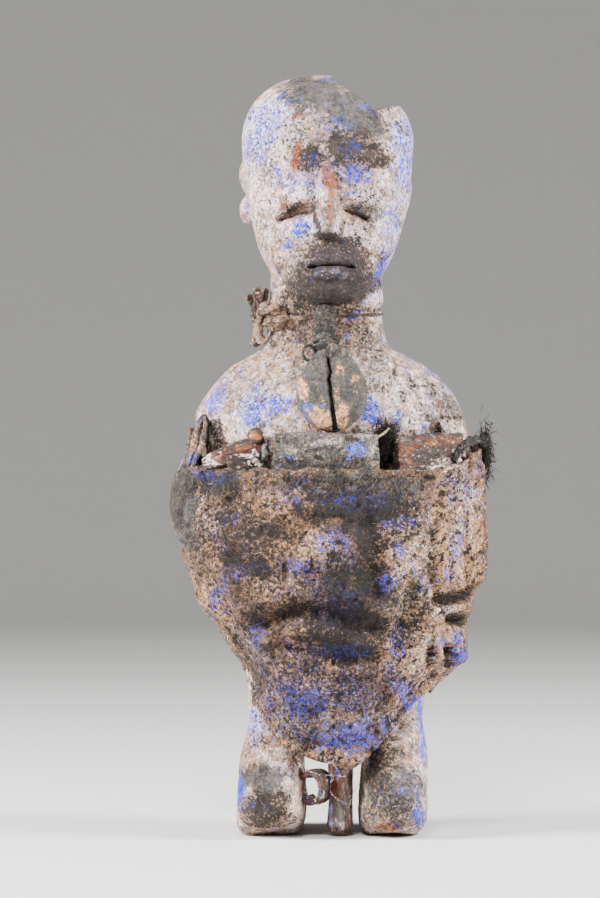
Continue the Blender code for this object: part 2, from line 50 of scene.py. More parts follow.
# Outline tables, as the solid model has them: height, reach to -X, +X, front, back
HEAD_FOOT = 0.69
HEAD = (
    (0.69, 0.112, 0.108, 0.118, 0.12),
    (0.745, 0.104, 0.0987, 0.124, 0.126),
    (0.769, 0.1046, 0.0986, 0.122, 0.128),
    (0.795, 0.1046, 0.1004, 0.121, 0.131),
    (0.822, 0.107, 0.1042, 0.12, 0.133),
    (0.848, 0.1095, 0.107, 0.119, 0.135),
    (0.888, 0.1185, 0.1145, 0.121, 0.137),
    (0.914, 0.128, 0.124, 0.124, 0.138),
    (0.938, 0.1387, 0.132, 0.128, 0.139),
    (0.959, 0.15, 0.139, 0.132, 0.138),
    (0.98, 0.167, 0.142, 0.134, 0.136),
    (1.0, 0.21, 0.142, 0.134, 0.134),
)
TRUNK = (
    (0.2, 0.093, 0.105, 0.098, 0.095),
    (0.225, 0.105, 0.14, 0.118, 0.108),
    (0.27, 0.136, 0.168, 0.139, 0.127),
    (0.31, 0.164, 0.181, 0.15, 0.132),
    (0.35, 0.173, 0.195, 0.158, 0.135),
    (0.39, 0.178, 0.196, 0.16, 0.136),
    (0.42, 0.179, 0.197, 0.146, 0.135),
    (0.46, 0.18, 0.193, 0.12, 0.132),
    (0.5, 0.181, 0.187, 0.112, 0.127),
    (0.538, 0.176, 0.18, 0.108, 0.12),
    (0.557, 0.1735, 0.175, 0.104, 0.114),
    (0.577, 0.163, 0.1655, 0.098, 0.107),
    (0.597, 0.1466, 0.1493, 0.09, 0.098),
    (0.612, 0.13, 0.131, 0.08, 0.089),
    (0.629, 0.0995, 0.0985, 0.07, 0.081),
    (0.64, 0.0835, 0.079, 0.066, 0.079),
    (0.66, 0.0795, 0.0718, 0.0645, 0.0785),
    (0.681, 0.0775, 0.07, 0.0635, 0.077),
    (0.7, 0.0775, 0.0705, 0.064, 0.078),
    (0.745, 0.0765, 0.069, 0.06, 0.078),
)
LEG = (
    (0.0, 0.039, 0.104, 0.07),
    (0.012, 0.0435, 0.113, 0.075),
    (0.035, 0.0445, 0.119, 0.076),
    (0.06, 0.0435, 0.116, 0.074),
    (0.085, 0.043, 0.1, 0.07),
    (0.11, 0.041, 0.078, 0.065),
    (0.15, 0.037, 0.061, 0.06),
    (0.2, 0.044, 0.064, 0.066),
    (0.27, 0.052, 0.07, 0.072),
)
LEG_RIGHT_AXIS = ((0.0, -0.0757), (0.08, -0.0757), (0.15, -0.0674), (0.27, -0.062))
LEG_LEFT_AXIS = ((0.0, 0.083), (0.05, 0.0848), (0.15, 0.087), (0.27, 0.078))
CLOTH = (
    (0.08, 0.098, 0.11, 0.1, 0.092),
    (0.13, 0.104, 0.118, 0.11, 0.104),
    (0.18, 0.108, 0.131, 0.122, 0.114),
    (0.211, 0.112, 0.156, 0.131, 0.121),
    (0.227, 0.117, 0.172, 0.136, 0.125),
    (0.243, 0.128, 0.178, 0.141, 0.129),
    (0.275, 0.148, 0.18, 0.149, 0.136),
    (0.3065, 0.1715, 0.1895, 0.158, 0.14),
    (0.338, 0.1805, 0.2015, 0.165, 0.143),
    (0.37, 0.1865, 0.2065, 0.169, 0.144),
    (0.417, 0.188, 0.206, 0.169, 0.143),
    (0.449, 0.189, 0.2025, 0.166, 0.142),
    (0.475, 0.1895, 0.206, 0.165, 0.14),
    (0.498, 0.1895, 0.198, 0.163, 0.137),
    (0.54, 0.1835, 0.19, 0.16, 0.131),
)
CLOTH_LOW_DEGREES = (
    (-180, 0.222), (-165, 0.205), (-147, 0.174), (-131, 0.128), (-117, 0.104),
    (-93, 0.091), (-79, 0.082), (-66, 0.099), (-52, 0.128), (-25, 0.184),
    (0, 0.188), (60, 0.184), (90, 0.18), (130, 0.186), (180, 0.222),
)
CLOTH_TOP_DEGREES = (
    (-180, 0.534), (-168, 0.526), (-153, 0.484), (-140, 0.48), (-90, 0.48),
    (-40, 0.482), (-22, 0.498), (0, 0.512), (30, 0.505), (90, 0.492),
    (150, 0.5), (170, 0.528), (180, 0.534),
)


# Numbers and noise

def through(rows):
    """A smooth curve through rows of (position, value, ...), for a whole array of positions."""
    table = np.array(rows, float)
    place, value = table[:, 0], table[:, 1:]
    step = np.diff(place)[:, None]
    rise = np.diff(value, axis=0) / step
    slope = np.zeros_like(value)
    slope[0], slope[-1] = rise[0], rise[-1]
    both = rise[:-1] * rise[1:] > 0
    total = np.where(both, rise[:-1] + rise[1:], 1.0)
    slope[1:-1] = np.where(both, 2 * rise[:-1] * rise[1:] / total, 0.0)

    def at(where):
        w = np.clip(np.atleast_1d(where), place[0], place[-1])
        i = np.clip(np.searchsorted(place, w, side="right") - 1, 0, len(place) - 2)
        h = step[i]
        t = ((w - place[i]) / h[:, 0])[:, None]
        return (
            (1 + 2 * t) * (1 - t) ** 2 * value[i] + t * (1 - t) ** 2 * h * slope[i]
            + t * t * (3 - 2 * t) * value[i + 1] + t * t * (t - 1) * h * slope[i + 1]
        ).T

    return at


head_at, trunk_at, leg_at, cloth_at = through(HEAD), through(TRUNK), through(LEG), through(CLOTH)
cloth_low, cloth_top = through(CLOTH_LOW_DEGREES), through(CLOTH_TOP_DEGREES)


def outline(angle, right, left, front, back, square):
    c, s = np.cos(angle), np.sin(angle)
    across, deep = np.where(c >= 0, left, right), np.where(s >= 0, back, front)
    reach = (np.abs(c / across) ** square + np.abs(s / deep) ** square) ** (-1 / square)
    return reach * c, reach * s


def ramp(low, high, x):
    t = np.clip((x - low) / (high - low), 0, 1)
    return t * t * (3 - 2 * t)


def corner(ix, iy, iz, seed):
    """A fixed number from -1 to 1 for each corner of a grid."""
    n = (ix * 73856093) ^ (iy * 19349663) ^ (iz * 83492791) ^ (seed * 2654435761)
    n = ((n ^ (n >> 13)) * 1274126177) & 0x7FFFFFFFFFFF
    n = ((n ^ (n >> 16)) * 668265263) & 0x7FFFFFFFFFFF
    return ((n >> 9) & 0xFFFF) / 32767.5 - 1.0


def noise(p, size, seed=0):
    """Smooth noise from -1 to 1, with lumps about size metres wide."""
    q = p / size
    i = np.floor(q).astype(np.int64)
    f = q - i
    f = f * f * f * (f * (f * 6 - 15) + 10)
    total = 0.0
    for dx in (0, 1):
        for dy in (0, 1):
            for dz in (0, 1):
                weight = (
                    (f[:, 0] if dx else 1 - f[:, 0]) * (f[:, 1] if dy else 1 - f[:, 1])
                    * (f[:, 2] if dz else 1 - f[:, 2])
                )
                total = total + weight * corner(i[:, 0] + dx, i[:, 1] + dy, i[:, 2] + dz, seed)
    return total


def fractal(p, size, seed=0, octaves=4, gain=0.55):
    total, weight, high = 0.0, 1.0, 0.0
    for k in range(octaves):
        total = total + weight * noise(p, size / 2**k, seed + 17 * k)
        high += weight
        weight *= gain
    return total / high * 1.6


def edges(p, size, seed=0):
    """How near each point is to a border between irregular cells: 0 on the border."""
    q = p / size
    i = np.floor(q).astype(np.int64)
    best = np.full(len(p), 9.0)
    second = np.full(len(p), 9.0)
    for dx in (-1, 0, 1):
        for dy in (-1, 0, 1):
            for dz in (-1, 0, 1):
                a, b, c = i[:, 0] + dx, i[:, 1] + dy, i[:, 2] + dz
                spot = np.stack([a, b, c], 1) + 0.5 + 0.5 * np.stack(
                    [corner(a, b, c, seed + k) for k in (1, 2, 3)], 1
                )
                d = np.linalg.norm(q - spot, axis=1)
                second = np.minimum(second, np.maximum(best, d))
                best = np.minimum(best, d)
    return second - best


def near_line(x, z, line):
    """Distance in the picture plane from (x, z) to a line of places, in shares."""
    best = np.full(len(x), 9.0)
    for (ax, az), (bx, bz) in zip(line[:-1], line[1:]):
        ux, uz = bx - ax, bz - az
        t = np.clip(((x - ax) * ux + (z - az) * uz) / (ux * ux + uz * uz), 0, 1)
        best = np.minimum(best, np.hypot(x - ax - t * ux, z - az - t * uz))
    return best


def patch(p, x, z, row, seed):
    """A ragged-edged patch of the front: 1 inside, 0 outside. Its row is as in marks."""
    px, pz, rx, rz = (value / 1000 for value in row[:4])
    c, s = math.cos(math.radians(row[4])), math.sin(math.radians(row[4]))
    away = np.hypot(((x - px) * c + (z - pz) * s) / rx, ((z - pz) * c - (x - px) * s) / rz)
    return ramp(1.45, 0.45, away + 0.5 * fractal(p, 0.0045, 40 + seed, 4))


# Meshes

def positions(obj):
    co = np.empty(len(obj.data.vertices) * 3, np.float32)
    obj.data.vertices.foreach_get("co", co)
    return co.reshape(-1, 3).astype(float)


def set_positions(obj, co):
    obj.data.vertices.foreach_set("co", np.asarray(co, np.float32).ravel())
    obj.data.update()


def normals(obj):
    no = np.empty(len(obj.data.vertices) * 3, np.float32)
    obj.data.vertex_normals.foreach_get("vector", no)
    return no.reshape(-1, 3).astype(float)


def paint(obj, name, values):
    """Keep a mask on the vertices, for the materials to read."""
    layer = obj.data.attributes.new(name, "FLOAT", "POINT")
    layer.data.foreach_set("value", np.clip(values, 0, 1).astype(np.float32))


def take(name):
    obj = bpy.context.active_object
    obj.name = obj.data.name = name
    return obj


def only(obj):
    bpy.ops.object.select_all(action="DESELECT")
    obj.select_set(True)
    bpy.context.view_layer.objects.active = obj


def apply(obj, kind, **settings):
    """Add a modifier, set it and apply it."""
    modifier = obj.modifiers.new(kind.lower(), kind)
    for key, value in settings.items():
        setattr(modifier, key, value)
    only(obj)
    bpy.ops.object.modifier_apply(modifier=modifier.name)


def from_bmesh(obj, work):
    """Run work on the object's mesh as a bmesh."""
    mesh = bmesh.new()
    mesh.from_mesh(obj.data)
    work(mesh)
    mesh.to_mesh(obj.data)
    mesh.free()
    obj.data.update()


def merge_doubles(obj):
    from_bmesh(obj, lambda mesh: bmesh.ops.remove_doubles(mesh, verts=mesh.verts, dist=1e-6))


def join(piece, others):
    bpy.ops.object.select_all(action="DESELECT")
    for obj in [piece, *others]:
        obj.select_set(True)
    bpy.context.view_layer.objects.active = piece
    bpy.ops.object.join()
    return piece


def close_ends(mesh):
    bmesh.ops.remove_doubles(mesh, verts=mesh.verts, dist=1e-7)
    rims = [e for e in mesh.edges if e.is_boundary]
    if rims:
        caps = bmesh.ops.holes_fill(mesh, edges=rims)["faces"]
        bmesh.ops.triangulate(mesh, faces=caps)
    bmesh.ops.recalc_face_normals(mesh, faces=mesh.faces)


def grid(name, columns, rows, place, closed=True):
    """A grid rolled into a tube: place(u, v) gives the vertices, u round it, v up it."""
    bpy.ops.mesh.primitive_grid_add(x_subdivisions=columns, y_subdivisions=rows, size=1)
    obj = take(name)
    co = positions(obj)
    set_positions(obj, place(co[:, 0] + 0.5, co[:, 1] + 0.5))
    if closed:
        from_bmesh(obj, close_ends)
    return obj


def sphere(name, columns, rows, place):
    """A sphere whose vertices are moved to place(unit vectors)."""
    bpy.ops.mesh.primitive_uv_sphere_add(segments=columns, ring_count=rows, radius=1)
    obj = take(name)
    set_positions(obj, place(positions(obj)))
    return obj


def turned(v, degrees):
    """Rotate points about X, then Y, then Z."""
    for axis, angle in enumerate(degrees):
        c, s = math.cos(math.radians(angle)), math.sin(math.radians(angle))
        a, b = [(1, 2), (2, 0), (0, 1)][axis]
        v = v.copy()
        v[:, a], v[:, b] = c * v[:, a] - s * v[:, b], s * v[:, a] + c * v[:, b]
    return v


def lump(name, middle, radii, turn, columns, rows):
    """An ellipsoid, its place and radii in shares."""
    def place(v):
        return (turned(v * np.array(radii), turn) + np.array(middle)) * HEIGHT + AXIS

    return sphere(name, columns, rows, place)


def fibres(name, lines, radii, resolution=0):
    """Thin strands as one mesh, from a curve with one spline for each line of points."""
    curve = bpy.data.curves.new(name, "CURVE")
    curve.dimensions = "3D"
    curve.bevel_depth = 1.0
    curve.bevel_resolution = resolution
    curve.use_fill_caps = True
    for line, radius in zip(lines, radii):
        spline = curve.splines.new("POLY")
        spline.points.add(len(line) - 1)
        spline.points.foreach_set("co", np.hstack([line, np.ones((len(line), 1))]).ravel())
        spline.points.foreach_set("radius", (radius * np.ones(len(line))).astype(np.float32))
    obj = bpy.data.objects.new(name, curve)
    bpy.context.scene.collection.objects.link(obj)
    only(obj)
    bpy.ops.object.convert(target="MESH")
    obj = take(name)
    obj.data.shade_smooth()
    return obj


def curved(places, count):
    """Points along a smooth curve through places given in shares."""
    knots = np.linspace(0, 1, len(places))
    route = through([(k, *p) for k, p in zip(knots, places)])(np.linspace(0, 1, count)).T
    return route * HEIGHT + AXIS


def rod_along(name, route, radius, columns, relief, rows):
    """A tube along a route of points, its wall at radius(t) plus relief(angle, t)."""
    steps = np.linspace(0, 1, len(route))

    def on_route(t):
        return np.stack([np.interp(t, steps, route[:, k]) for k in range(3)], 1)

    def place(u, v):
        along = on_route(v + 0.01) - on_route(v - 0.01)
        along /= np.linalg.norm(along, axis=1)[:, None]
        level = np.where(np.abs(along[:, 2:3]) > 0.8, [[0, -1.0, 0]], [[0, 0, 1.0]])
        side = np.cross(along, level)
        side /= np.linalg.norm(side, axis=1)[:, None]
        over = np.cross(along, side)
        angle = 2 * math.pi * u
        out = (radius(v) + relief(angle, v))[:, None]
        return on_route(v) + out * (np.cos(angle)[:, None] * side + np.sin(angle)[:, None] * over)

    return grid(name, columns, rows, place)


def block(name, middle, sizes, turn, cuts, bevel):
    """A beveled block, its least size cut in so many parts for shaping. Place and sizes in shares."""
    bpy.ops.mesh.primitive_cube_add(size=1)
    obj = take(name)
    set_positions(obj, positions(obj) * np.array(sizes) * HEIGHT)
    apply(obj, "BEVEL", width=bevel, segments=2, limit_method="NONE")
    apply(obj, "SUBSURF", subdivision_type="SIMPLE", levels=1, render_levels=1)
    size = min(sizes) * HEIGHT / cuts
    from_bmesh(obj, lambda m: even_out(m, size))
    set_positions(obj, turned(positions(obj), turn) + np.array(middle) * HEIGHT + AXIS)
    return obj


def even_out(mesh, size):
    """Split the long edges until all are near one size."""
    for _ in range(6):
        long = [e for e in mesh.edges if e.calc_length() > 1.5 * size]
        if not long:
            break
        bmesh.ops.subdivide_edges(mesh, edges=long, cuts=1, use_grid_fill=True)
    bmesh.ops.triangulate(mesh, faces=mesh.faces)


def push_out(obj, push):
    """Move the skin along its normals, in metres."""
    set_positions(obj, positions(obj) + normals(obj) * push[:, None])


def roughen(obj, lumps, lump_size, grit, grit_size, seed, stretch=(1, 1, 1)):
    """Push the skin in and out, by broad lumps and by grit."""
    p = positions(obj) * np.array(stretch)
    push_out(obj, lumps * fractal(p, lump_size, seed, 3) + grit * fractal(p, grit_size, seed + 5, 3, 0.7))


def wall_noise(angle, t, radius, length, size, seed):
    """Seamless noise on a tube's wall, at an angle round it and a share t of its length."""
    return fractal(np.stack([radius * np.cos(angle), radius * np.sin(angle), length * t], 1), size, seed, 3)


def share_places(co):
    q = (co - AXIS) / HEIGHT
    return q[:, 0], q[:, 1], q[:, 2]


def seen(x, y, z):
    """Where a place in shares is seen from the front by the viewer: its x and z."""
    closer = VIEW_AWAY / (VIEW_AWAY + y * HEIGHT + AXIS[1])
    return x * closer, VIEW_LEVEL + (z - VIEW_LEVEL) * closer


def marks(p, rows):
    """The strongest of several ragged patches at each point, faded out round the sides.
    Rows: x, z and radii across and up in thousandths of the height, turn in degrees and
    strength. A strength below 0 wipes off what the rows before it painted."""
    x, y, z = share_places(p)
    x, z = seen(x, y, z)
    total = np.zeros(len(p))
    for i, row in enumerate(rows):
        here = abs(row[5]) * patch(p, x, z, row, i)
        total = np.maximum(total, here) if row[5] > 0 else total * (1 - np.clip(here, 0, 1))
    return total * ramp(0.06, -0.055, y + 0.035 * fractal(p, 0.009, 39, 3))


def coat(piece, **masks):
    """Paint masks, each from rows of marks (six values) and of clouds (five: strength, the
    noise levels where it starts and is full, size in metres, seed)."""
    p = positions(piece)
    for name, rows in masks.items():
        values = marks(p, [row for row in rows if len(row) == 6])
        for strength, low, high, size, seed in [row for row in rows if len(row) == 5]:
            values = np.maximum(values, strength * ramp(low, high, noise(p, size, seed)))
        paint(piece, name, values)


LOOKS = {}


def stand(piece, slot, *nodes):
    """Tie a piece to the figure, to its finish and to the solids that it stands for."""
    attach(piece, "root")
    if nodes:
        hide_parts(*nodes)
    piece.data.materials.clear()
    piece.data.materials.append(LOOKS[slot])
    piece.data.shade_smooth()


# Finishes

def linear(hex_colour):
    """An sRGB hex colour as the linear values that a shader takes."""
    parts = [int(hex_colour[i : i + 2], 16) / 255 for i in (0, 2, 4)]
    return [c / 12.92 if c <= 0.04045 else ((c + 0.055) / 1.055) ** 2.4 for c in parts] + [1.0]


def add(tree, kind, settings=(), links=()):
    """Add a node: settings are its properties or sockets' values, links the sockets it takes."""
    node = tree.nodes.new("ShaderNode" + kind)
    for key, value in dict(settings).items():
        if isinstance(key, str) and hasattr(node, key):
            setattr(node, key, value)
        else:
            node.inputs[key].default_value = value
    for key, socket in dict(links).items():
        tree.links.new(socket, node.inputs[key])
    return node


def level_for(share):
    """The noise level above which this share of a surface lies."""
    return 0.5 - 0.085 * NormalDist().inv_cdf(share)


def finish(
    name, ground, coats, roughness, bump, grain, pores=0.0, pore_hex="2A211C",
    stretch=(1, 1, 1), specular=0.35, speckle=0.45,
):
    """A worn, layered surface, kept in LOOKS. ground: two hex colours and the size of their
    mottle. Each coat: its two hex colours, the painted mask it follows or None, the size of
    its ragged edge, the share it covers unpainted and where painted, its softness, and how
    thickly it veils all that is painted. Sizes are in metres."""
    made = LOOKS[name] = bpy.data.materials.new(name)
    made.use_nodes = True
    tree = made.node_tree
    shader = tree.nodes["Principled BSDF"]
    multiply_add = ("operation", "MULTIPLY_ADD")
    place = add(tree, "TexCoord").outputs["Object"]
    if stretch != (1, 1, 1):
        place = add(tree, "Mapping", {"Scale": stretch}, {"Vector": place}).outputs[0]
    here = {"Vector": place}
    fine = add(tree, "TexNoise", {"Scale": 1 / grain, "Detail": 3.0, "Roughness": 0.75}, here).outputs[0]
    cells = add(tree, "TexVoronoi", {"Scale": 1 / (1.1 * grain), "Randomness": 1.0}, here).outputs["Color"]
    crumb = add(tree, "Math", (multiply_add, (1, 0.5)), {0: cells, 2: fine}).outputs[0]
    broad = add(tree, "TexNoise", {"Scale": 1 / ground[2], "Detail": 7.0, "Roughness": 0.78}, here).outputs[0]
    tone = add(tree, "MapRange", {1: 0.38, 2: 0.62}, {0: broad}).outputs[0]
    rgba = ("data_type", "RGBA")
    colour = add(tree, "Mix", (rgba, (6, linear(ground[0])), (7, linear(ground[1]))), {0: tone}).outputs[2]
    spread = {1: 0.48, 2: 1.02, 3: 1 - speckle, 4: 1 + 0.8 * speckle}
    shade = add(tree, "MapRange", spread, {0: crumb}).outputs[0]
    height = add(tree, "Math", (multiply_add, (1, 0.6)), {0: broad, 2: crumb}).outputs[0]
    for i, (one, two, mask, size, covers, full, soft, veil) in enumerate(coats):
        shift = {"operation": "ADD", 1: (0.013 * i, 0.027 * i, 0.041 * i)}
        moved = add(tree, "VectorMath", shift, {0: place}).outputs[0]
        ragged = {"Scale": 1 / size, "Detail": 6.0, "Roughness": 0.78}
        level = add(tree, "TexNoise", ragged, {"Vector": moved}).outputs[0]
        level = add(tree, "Math", (multiply_add, (1, 0.22)), {0: cells, 2: level}).outputs[0]
        start = level_for(covers) + 0.11
        if mask:
            painted = add(tree, "Attribute", {"attribute_name": mask}).outputs["Fac"]
            lift = start - level_for(full) - 0.11
            level = add(tree, "Math", (multiply_add, (1, lift)), {0: painted, 2: level}).outputs[0]
        edge = {"interpolation_type": "SMOOTHSTEP", 1: start - soft / 2, 2: start + soft / 2}
        cover = add(tree, "MapRange", edge, {0: level}).outputs[0]
        if mask and veil:
            thin = (multiply_add, (1, veil), ("use_clamp", True))
            cover = add(tree, "Math", thin, {0: painted, 2: cover}).outputs[0]
        mixed = add(tree, "Mix", (rgba, (6, linear(one)), (7, linear(two))), {0: tone}).outputs[2]
        colour = add(tree, "Mix", (rgba,), {0: cover, 6: colour, 7: mixed}).outputs[2]
    if pores:
        open_grain = {"Scale": 1 / (1.7 * grain), "Detail": 2.0, "Roughness": 0.6}
        holes = add(tree, "TexNoise", open_grain, here).outputs[0]
        deep = {1: 0.36 + 0.1 * pores, 2: 0.28 + 0.1 * pores, 3: 0.0, 4: 0.85}
        pore = add(tree, "MapRange", deep, {0: holes}).outputs[0]
        colour = add(tree, "Mix", (rgba, (7, linear(pore_hex))), {0: pore, 6: colour}).outputs[2]
        height = add(tree, "Math", (multiply_add, (1, -0.6)), {0: pore, 2: height}).outputs[0]
    shaded = add(tree, "VectorMath", {"operation": "SCALE"}, {0: colour, 3: shade}).outputs[0]
    tree.links.new(shaded, shader.inputs["Base Color"])
    matt = {1: 0.3, 2: 0.7, 3: roughness - 0.1, 4: min(1.0, roughness + 0.08)}
    tree.links.new(add(tree, "MapRange", matt, {0: fine}).outputs[0], shader.inputs["Roughness"])
    shader.inputs["Specular IOR Level"].default_value = specular
    dents = add(tree, "Bump", {"Strength": 1.0, "Distance": bump}, {"Height": height}).outputs[0]
    tree.links.new(dents, shader.inputs["Normal"])


# Carved wood, caked by hand with kaolin, ochre clay and ultramarine, then handled and
# smoked: chalky, speckled, bare orange wood where the coat has flaked. Its grime coat also
# carries painted shade, and its white coat a painted highlight on one foot
finish(
    "caked_wood", ("674430", "E2B490", 0.0034),
    (
        ("5A504A", "8C8078", None, 0.006, 0.24, 0, 0.2, 0),
        ("D6C4C8", "FCF1EC", "white", 0.0015, 0.2, 0.82, 0.14, 0.22),
        ("35332E", "68635A", "ash", 0.0012, 0.05, 0.93, 0.18, 0.52),
        ("56250C", "BE6A1C", "bare", 0.0013, 0.015, 0.8, 0.14, 0.42),
        ("0F24BE", "3E5AF6", "blue", 0.0009, 0.03, 0.74, 0.06, 0.1),
        # grime coat: dirt, and painted shade where the masks mark it
        ("0D0B0A", "3A2E25", "grime", 0.0009, 0.05, 0.86, 0.16, 0.3),
        ("0C1438", "223080", "night", 0.0012, 0.004, 0.5, 0.1, 0.06),
    ),
    0.9, 0.0007, 0.00046, 0.25, "2A201A", speckle=0.36,
)
# Coarse woven cloth stiffened with the same clay: crumbly, fibrous, soaked dark in places, with painted shade
# in its creases and deep hollows
finish(
    "caked_cloth", ("3A2A1F", "8F6746", 0.004),
    (
        ("9C683F", "E6B07C", "clay", 0.0016, 0.1, 0.8, 0.16, 0.2),
        ("CDB5A4", "F9EFE8", "white", 0.001, 0.05, 0.56, 0.09, 0.08),
        ("33312C", "625E56", "ash", 0.0011, 0.1, 0.84, 0.16, 0.42),
        ("0F24B4", "3C58F2", "blue", 0.0009, 0.02, 0.64, 0.06, 0.1),
        # grime coat: dirt and stains, and painted shade in the creases and deep hollows
        ("090706", "2B2018", "grime", 0.0009, 0.14, 0.84, 0.16, 0.4),
        ("0C1230", "1E2C74", "night", 0.0011, 0.02, 0.55, 0.12, 0.14),
    ),
    0.94, 0.0009, 0.00046, 0.6, "15100D", speckle=0.42,
)
# Ash-dusted shell, its back sunk in the crust: matt grey skin, worn through to tan shell
finish(
    "crusted_shell", ("282621", "524F47", 0.0022),
    (
        ("8E5E3C", "DBA97E", "bare", 0.0011, 0.015, 0.86, 0.18, 0.45),
        ("26379A", "5468CC", "blue", 0.0011, 0.012, 0.6, 0.1, 0.1),
        # grime coat: dirt, and painted shade in the slit
        ("16120F", "2C2620", "grime", 0.0012, 0.1, 0.96, 0.14, 0.35),
    ),
    0.84, 0.0003, 0.00045, 0.4, speckle=0.35,
)
# Fibre cord bound and smoked grey-black
finish(
    "ash_grey_fibre", ("242320", "4C4A44", 0.0012),
    (
        ("6B5644", "8F7760", "bare", 0.001, 0.1, 0.7, 0.12, 0.35),
        ("0F0E0C", "1E1C19", "grime", 0.001, 0.2, 0.8, 0.12, 0.35),
    ),
    0.93, 0.0004, 0.0004, 0.8,
)
# Plant cord under a tan clay crust
finish(
    "neck_cord", ("6C4F3C", "BC9478", 0.002),
    (
        ("6E655B", "938A7F", None, 0.0016, 0.3, 0.0, 0.12, 0),
        ("241C17", "43352B", "grime", 0.0011, 0.14, 0.85, 0.12, 0.35),
    ),
    0.92, 0.0005, 0.0005, 0.6,
)
# Dried hide scraps: dark brown, horny, a few clay-coated edges
finish(
    "dark_hide", ("23150D", "4E2E1C", 0.0014),
    (
        ("7E6450", "A98D77", "white", 0.001, 0.06, 0.6, 0.12, 0.1),
        ("0D0907", "1C120D", None, 0.0012, 0.3, 0, 0.12, 0),
    ),
    0.72, 0.0003, 0.0004, 0.4, specular=0.45,
)
# Bark: red-brown inner face, smooth in one direction, with clay crumbs stuck on it
finish(
    "red_brown_bark", ("29120A", "5F2B17", 0.0018),
    (
        ("3B3832", "66615A", "ash", 0.0011, 0.07, 0.8, 0.2, 0.4),
        ("7A3A14", "CC7A2C", "bare", 0.0011, 0.02, 0.75, 0.22, 0.5),
        ("14100D", "2E1F17", "grime", 0.0011, 0.2, 0.9, 0.18, 0.35),
        ("C2B2A6", "ECE0D8", "white", 0.001, 0.03, 0.7, 0.12, 0.1),
        ("2A3EA8", "5E72D4", "blue", 0.001, 0.008, 0.55, 0.08, 0.0),
    ),
    0.72, 0.0004, 0.0005, 0.4, stretch=(0.6, 1, 1), specular=0.42,
)
# A hard smooth seed, dusty
finish(
    "dark_seed", ("15110F", "2E2725", 0.0014),
    (("6B625E", "8C827D", "white", 0.001, 0.08, 0.6, 0.14, 0.1),), 0.5, 0.0001, 0.0005, 0.1, specular=0.5,
)
# Cloth folded up and rubbed with ash
finish(
    "ash_grey_cloth", ("35332E", "6B675E", 0.0022),
    (
        ("9A9186", "C6BCAF", "white", 0.001, 0.07, 0.6, 0.18, 0.15),
        ("16130F", "302B26", "grime", 0.001, 0.14, 0.8, 0.18, 0.45),
        ("2C42B8", "5A70DC", "blue", 0.001, 0.03, 0.6, 0.06, 0.0),
        ("6E5140", "99755A", None, 0.0011, 0.1, 0.0, 0.16, 0),
    ),
    0.95, 0.0006, 0.00042, 0.5, "191410", speckle=0.36,
)
# Animal hair, matted: near black with brown lights
finish(
    "black_hair", ("080605", "1A110B", 0.0008),
    (("3A2E25", "5A4A3C", "white", 0.0008, 0.02, 0.5, 0.12, 0.0),), 0.7, 0.0001, 0.0004, 0.0, specular=0.2,
)
# A stripped twig, dry and pale
finish(
    "pale_twig", ("8B7757", "AF9A77", 0.0012),
    (("33281D", "4A3B2D", None, 0.001, 0.15, 0, 0.12, 0),), 0.8, 0.0002, 0.0004,
)
# Broken crust and wood chips under kaolin: chalk white, darker at the breaks
finish(
    "pale_chip", ("846046", "D8B8A0", 0.0018),
    (
        ("DCD0CA", "F4EEEA", "white", 0.0014, 0.1, 0.75, 0.18, 0.2),
        ("2A40B0", "6074D6", "blue", 0.001, 0.05, 0.55, 0.06, 0.0),
        ("1F1814", "3F332A", "grime", 0.0011, 0.14, 0.88, 0.12, 0.35),
        ("6A3A22", "8E5736", "bare", 0.0011, 0.04, 0.8, 0.12, 0.35),
    ),
    0.92, 0.0005, 0.0005, 0.7,
)
# A twisted strip of rag, greasy grey
finish(
    "dark_rag", ("0D0C0B", "2C2926", 0.001),
    (("5C564F", "7A736B", None, 0.0009, 0.1, 0, 0.12, 0),), 0.92, 0.0004, 0.0004, 0.5,
)
# A whittled wooden peg, red-brown, rubbed and chalked at its foot
finish(
    "red_brown_wood", ("3C1C11", "733A24", 0.0022),
    (
        ("4A443F", "7A716A", "ash", 0.0013, 0.14, 0.75, 0.2, 0.4),
        ("1C130E", "35241B", "grime", 0.0011, 0.16, 0.85, 0.18, 0.35),
        ("B0A19C", "D6C9C4", "white", 0.001, 0.02, 0.6, 0.12, 0.1),
        ("2A3EA8", "5A6ECC", "blue", 0.001, 0.012, 0.6, 0.08, 0.0),
    ),
    0.76, 0.0003, 0.0005, 0.3, stretch=(1, 1, 0.3),
)
# Plain pale studio floor
finish("studio_floor", ("C9C8C6", "CBCAC8", 0.5), (), 0.9, 0.00005, 0.004, speckle=0.02)


# The carved figure

def front_dense(angle, amount=0.4):
    """Bring a ring's vertices closer together at the front."""
    from_front = (angle + 1.5 * math.pi) % (2 * math.pi) - math.pi
    return from_front - amount * np.sin(from_front) - math.pi / 2


def soft_max(a, b, k):
    return np.maximum(a, b) + k * np.log1p(np.exp(-np.abs(a - b) / k))


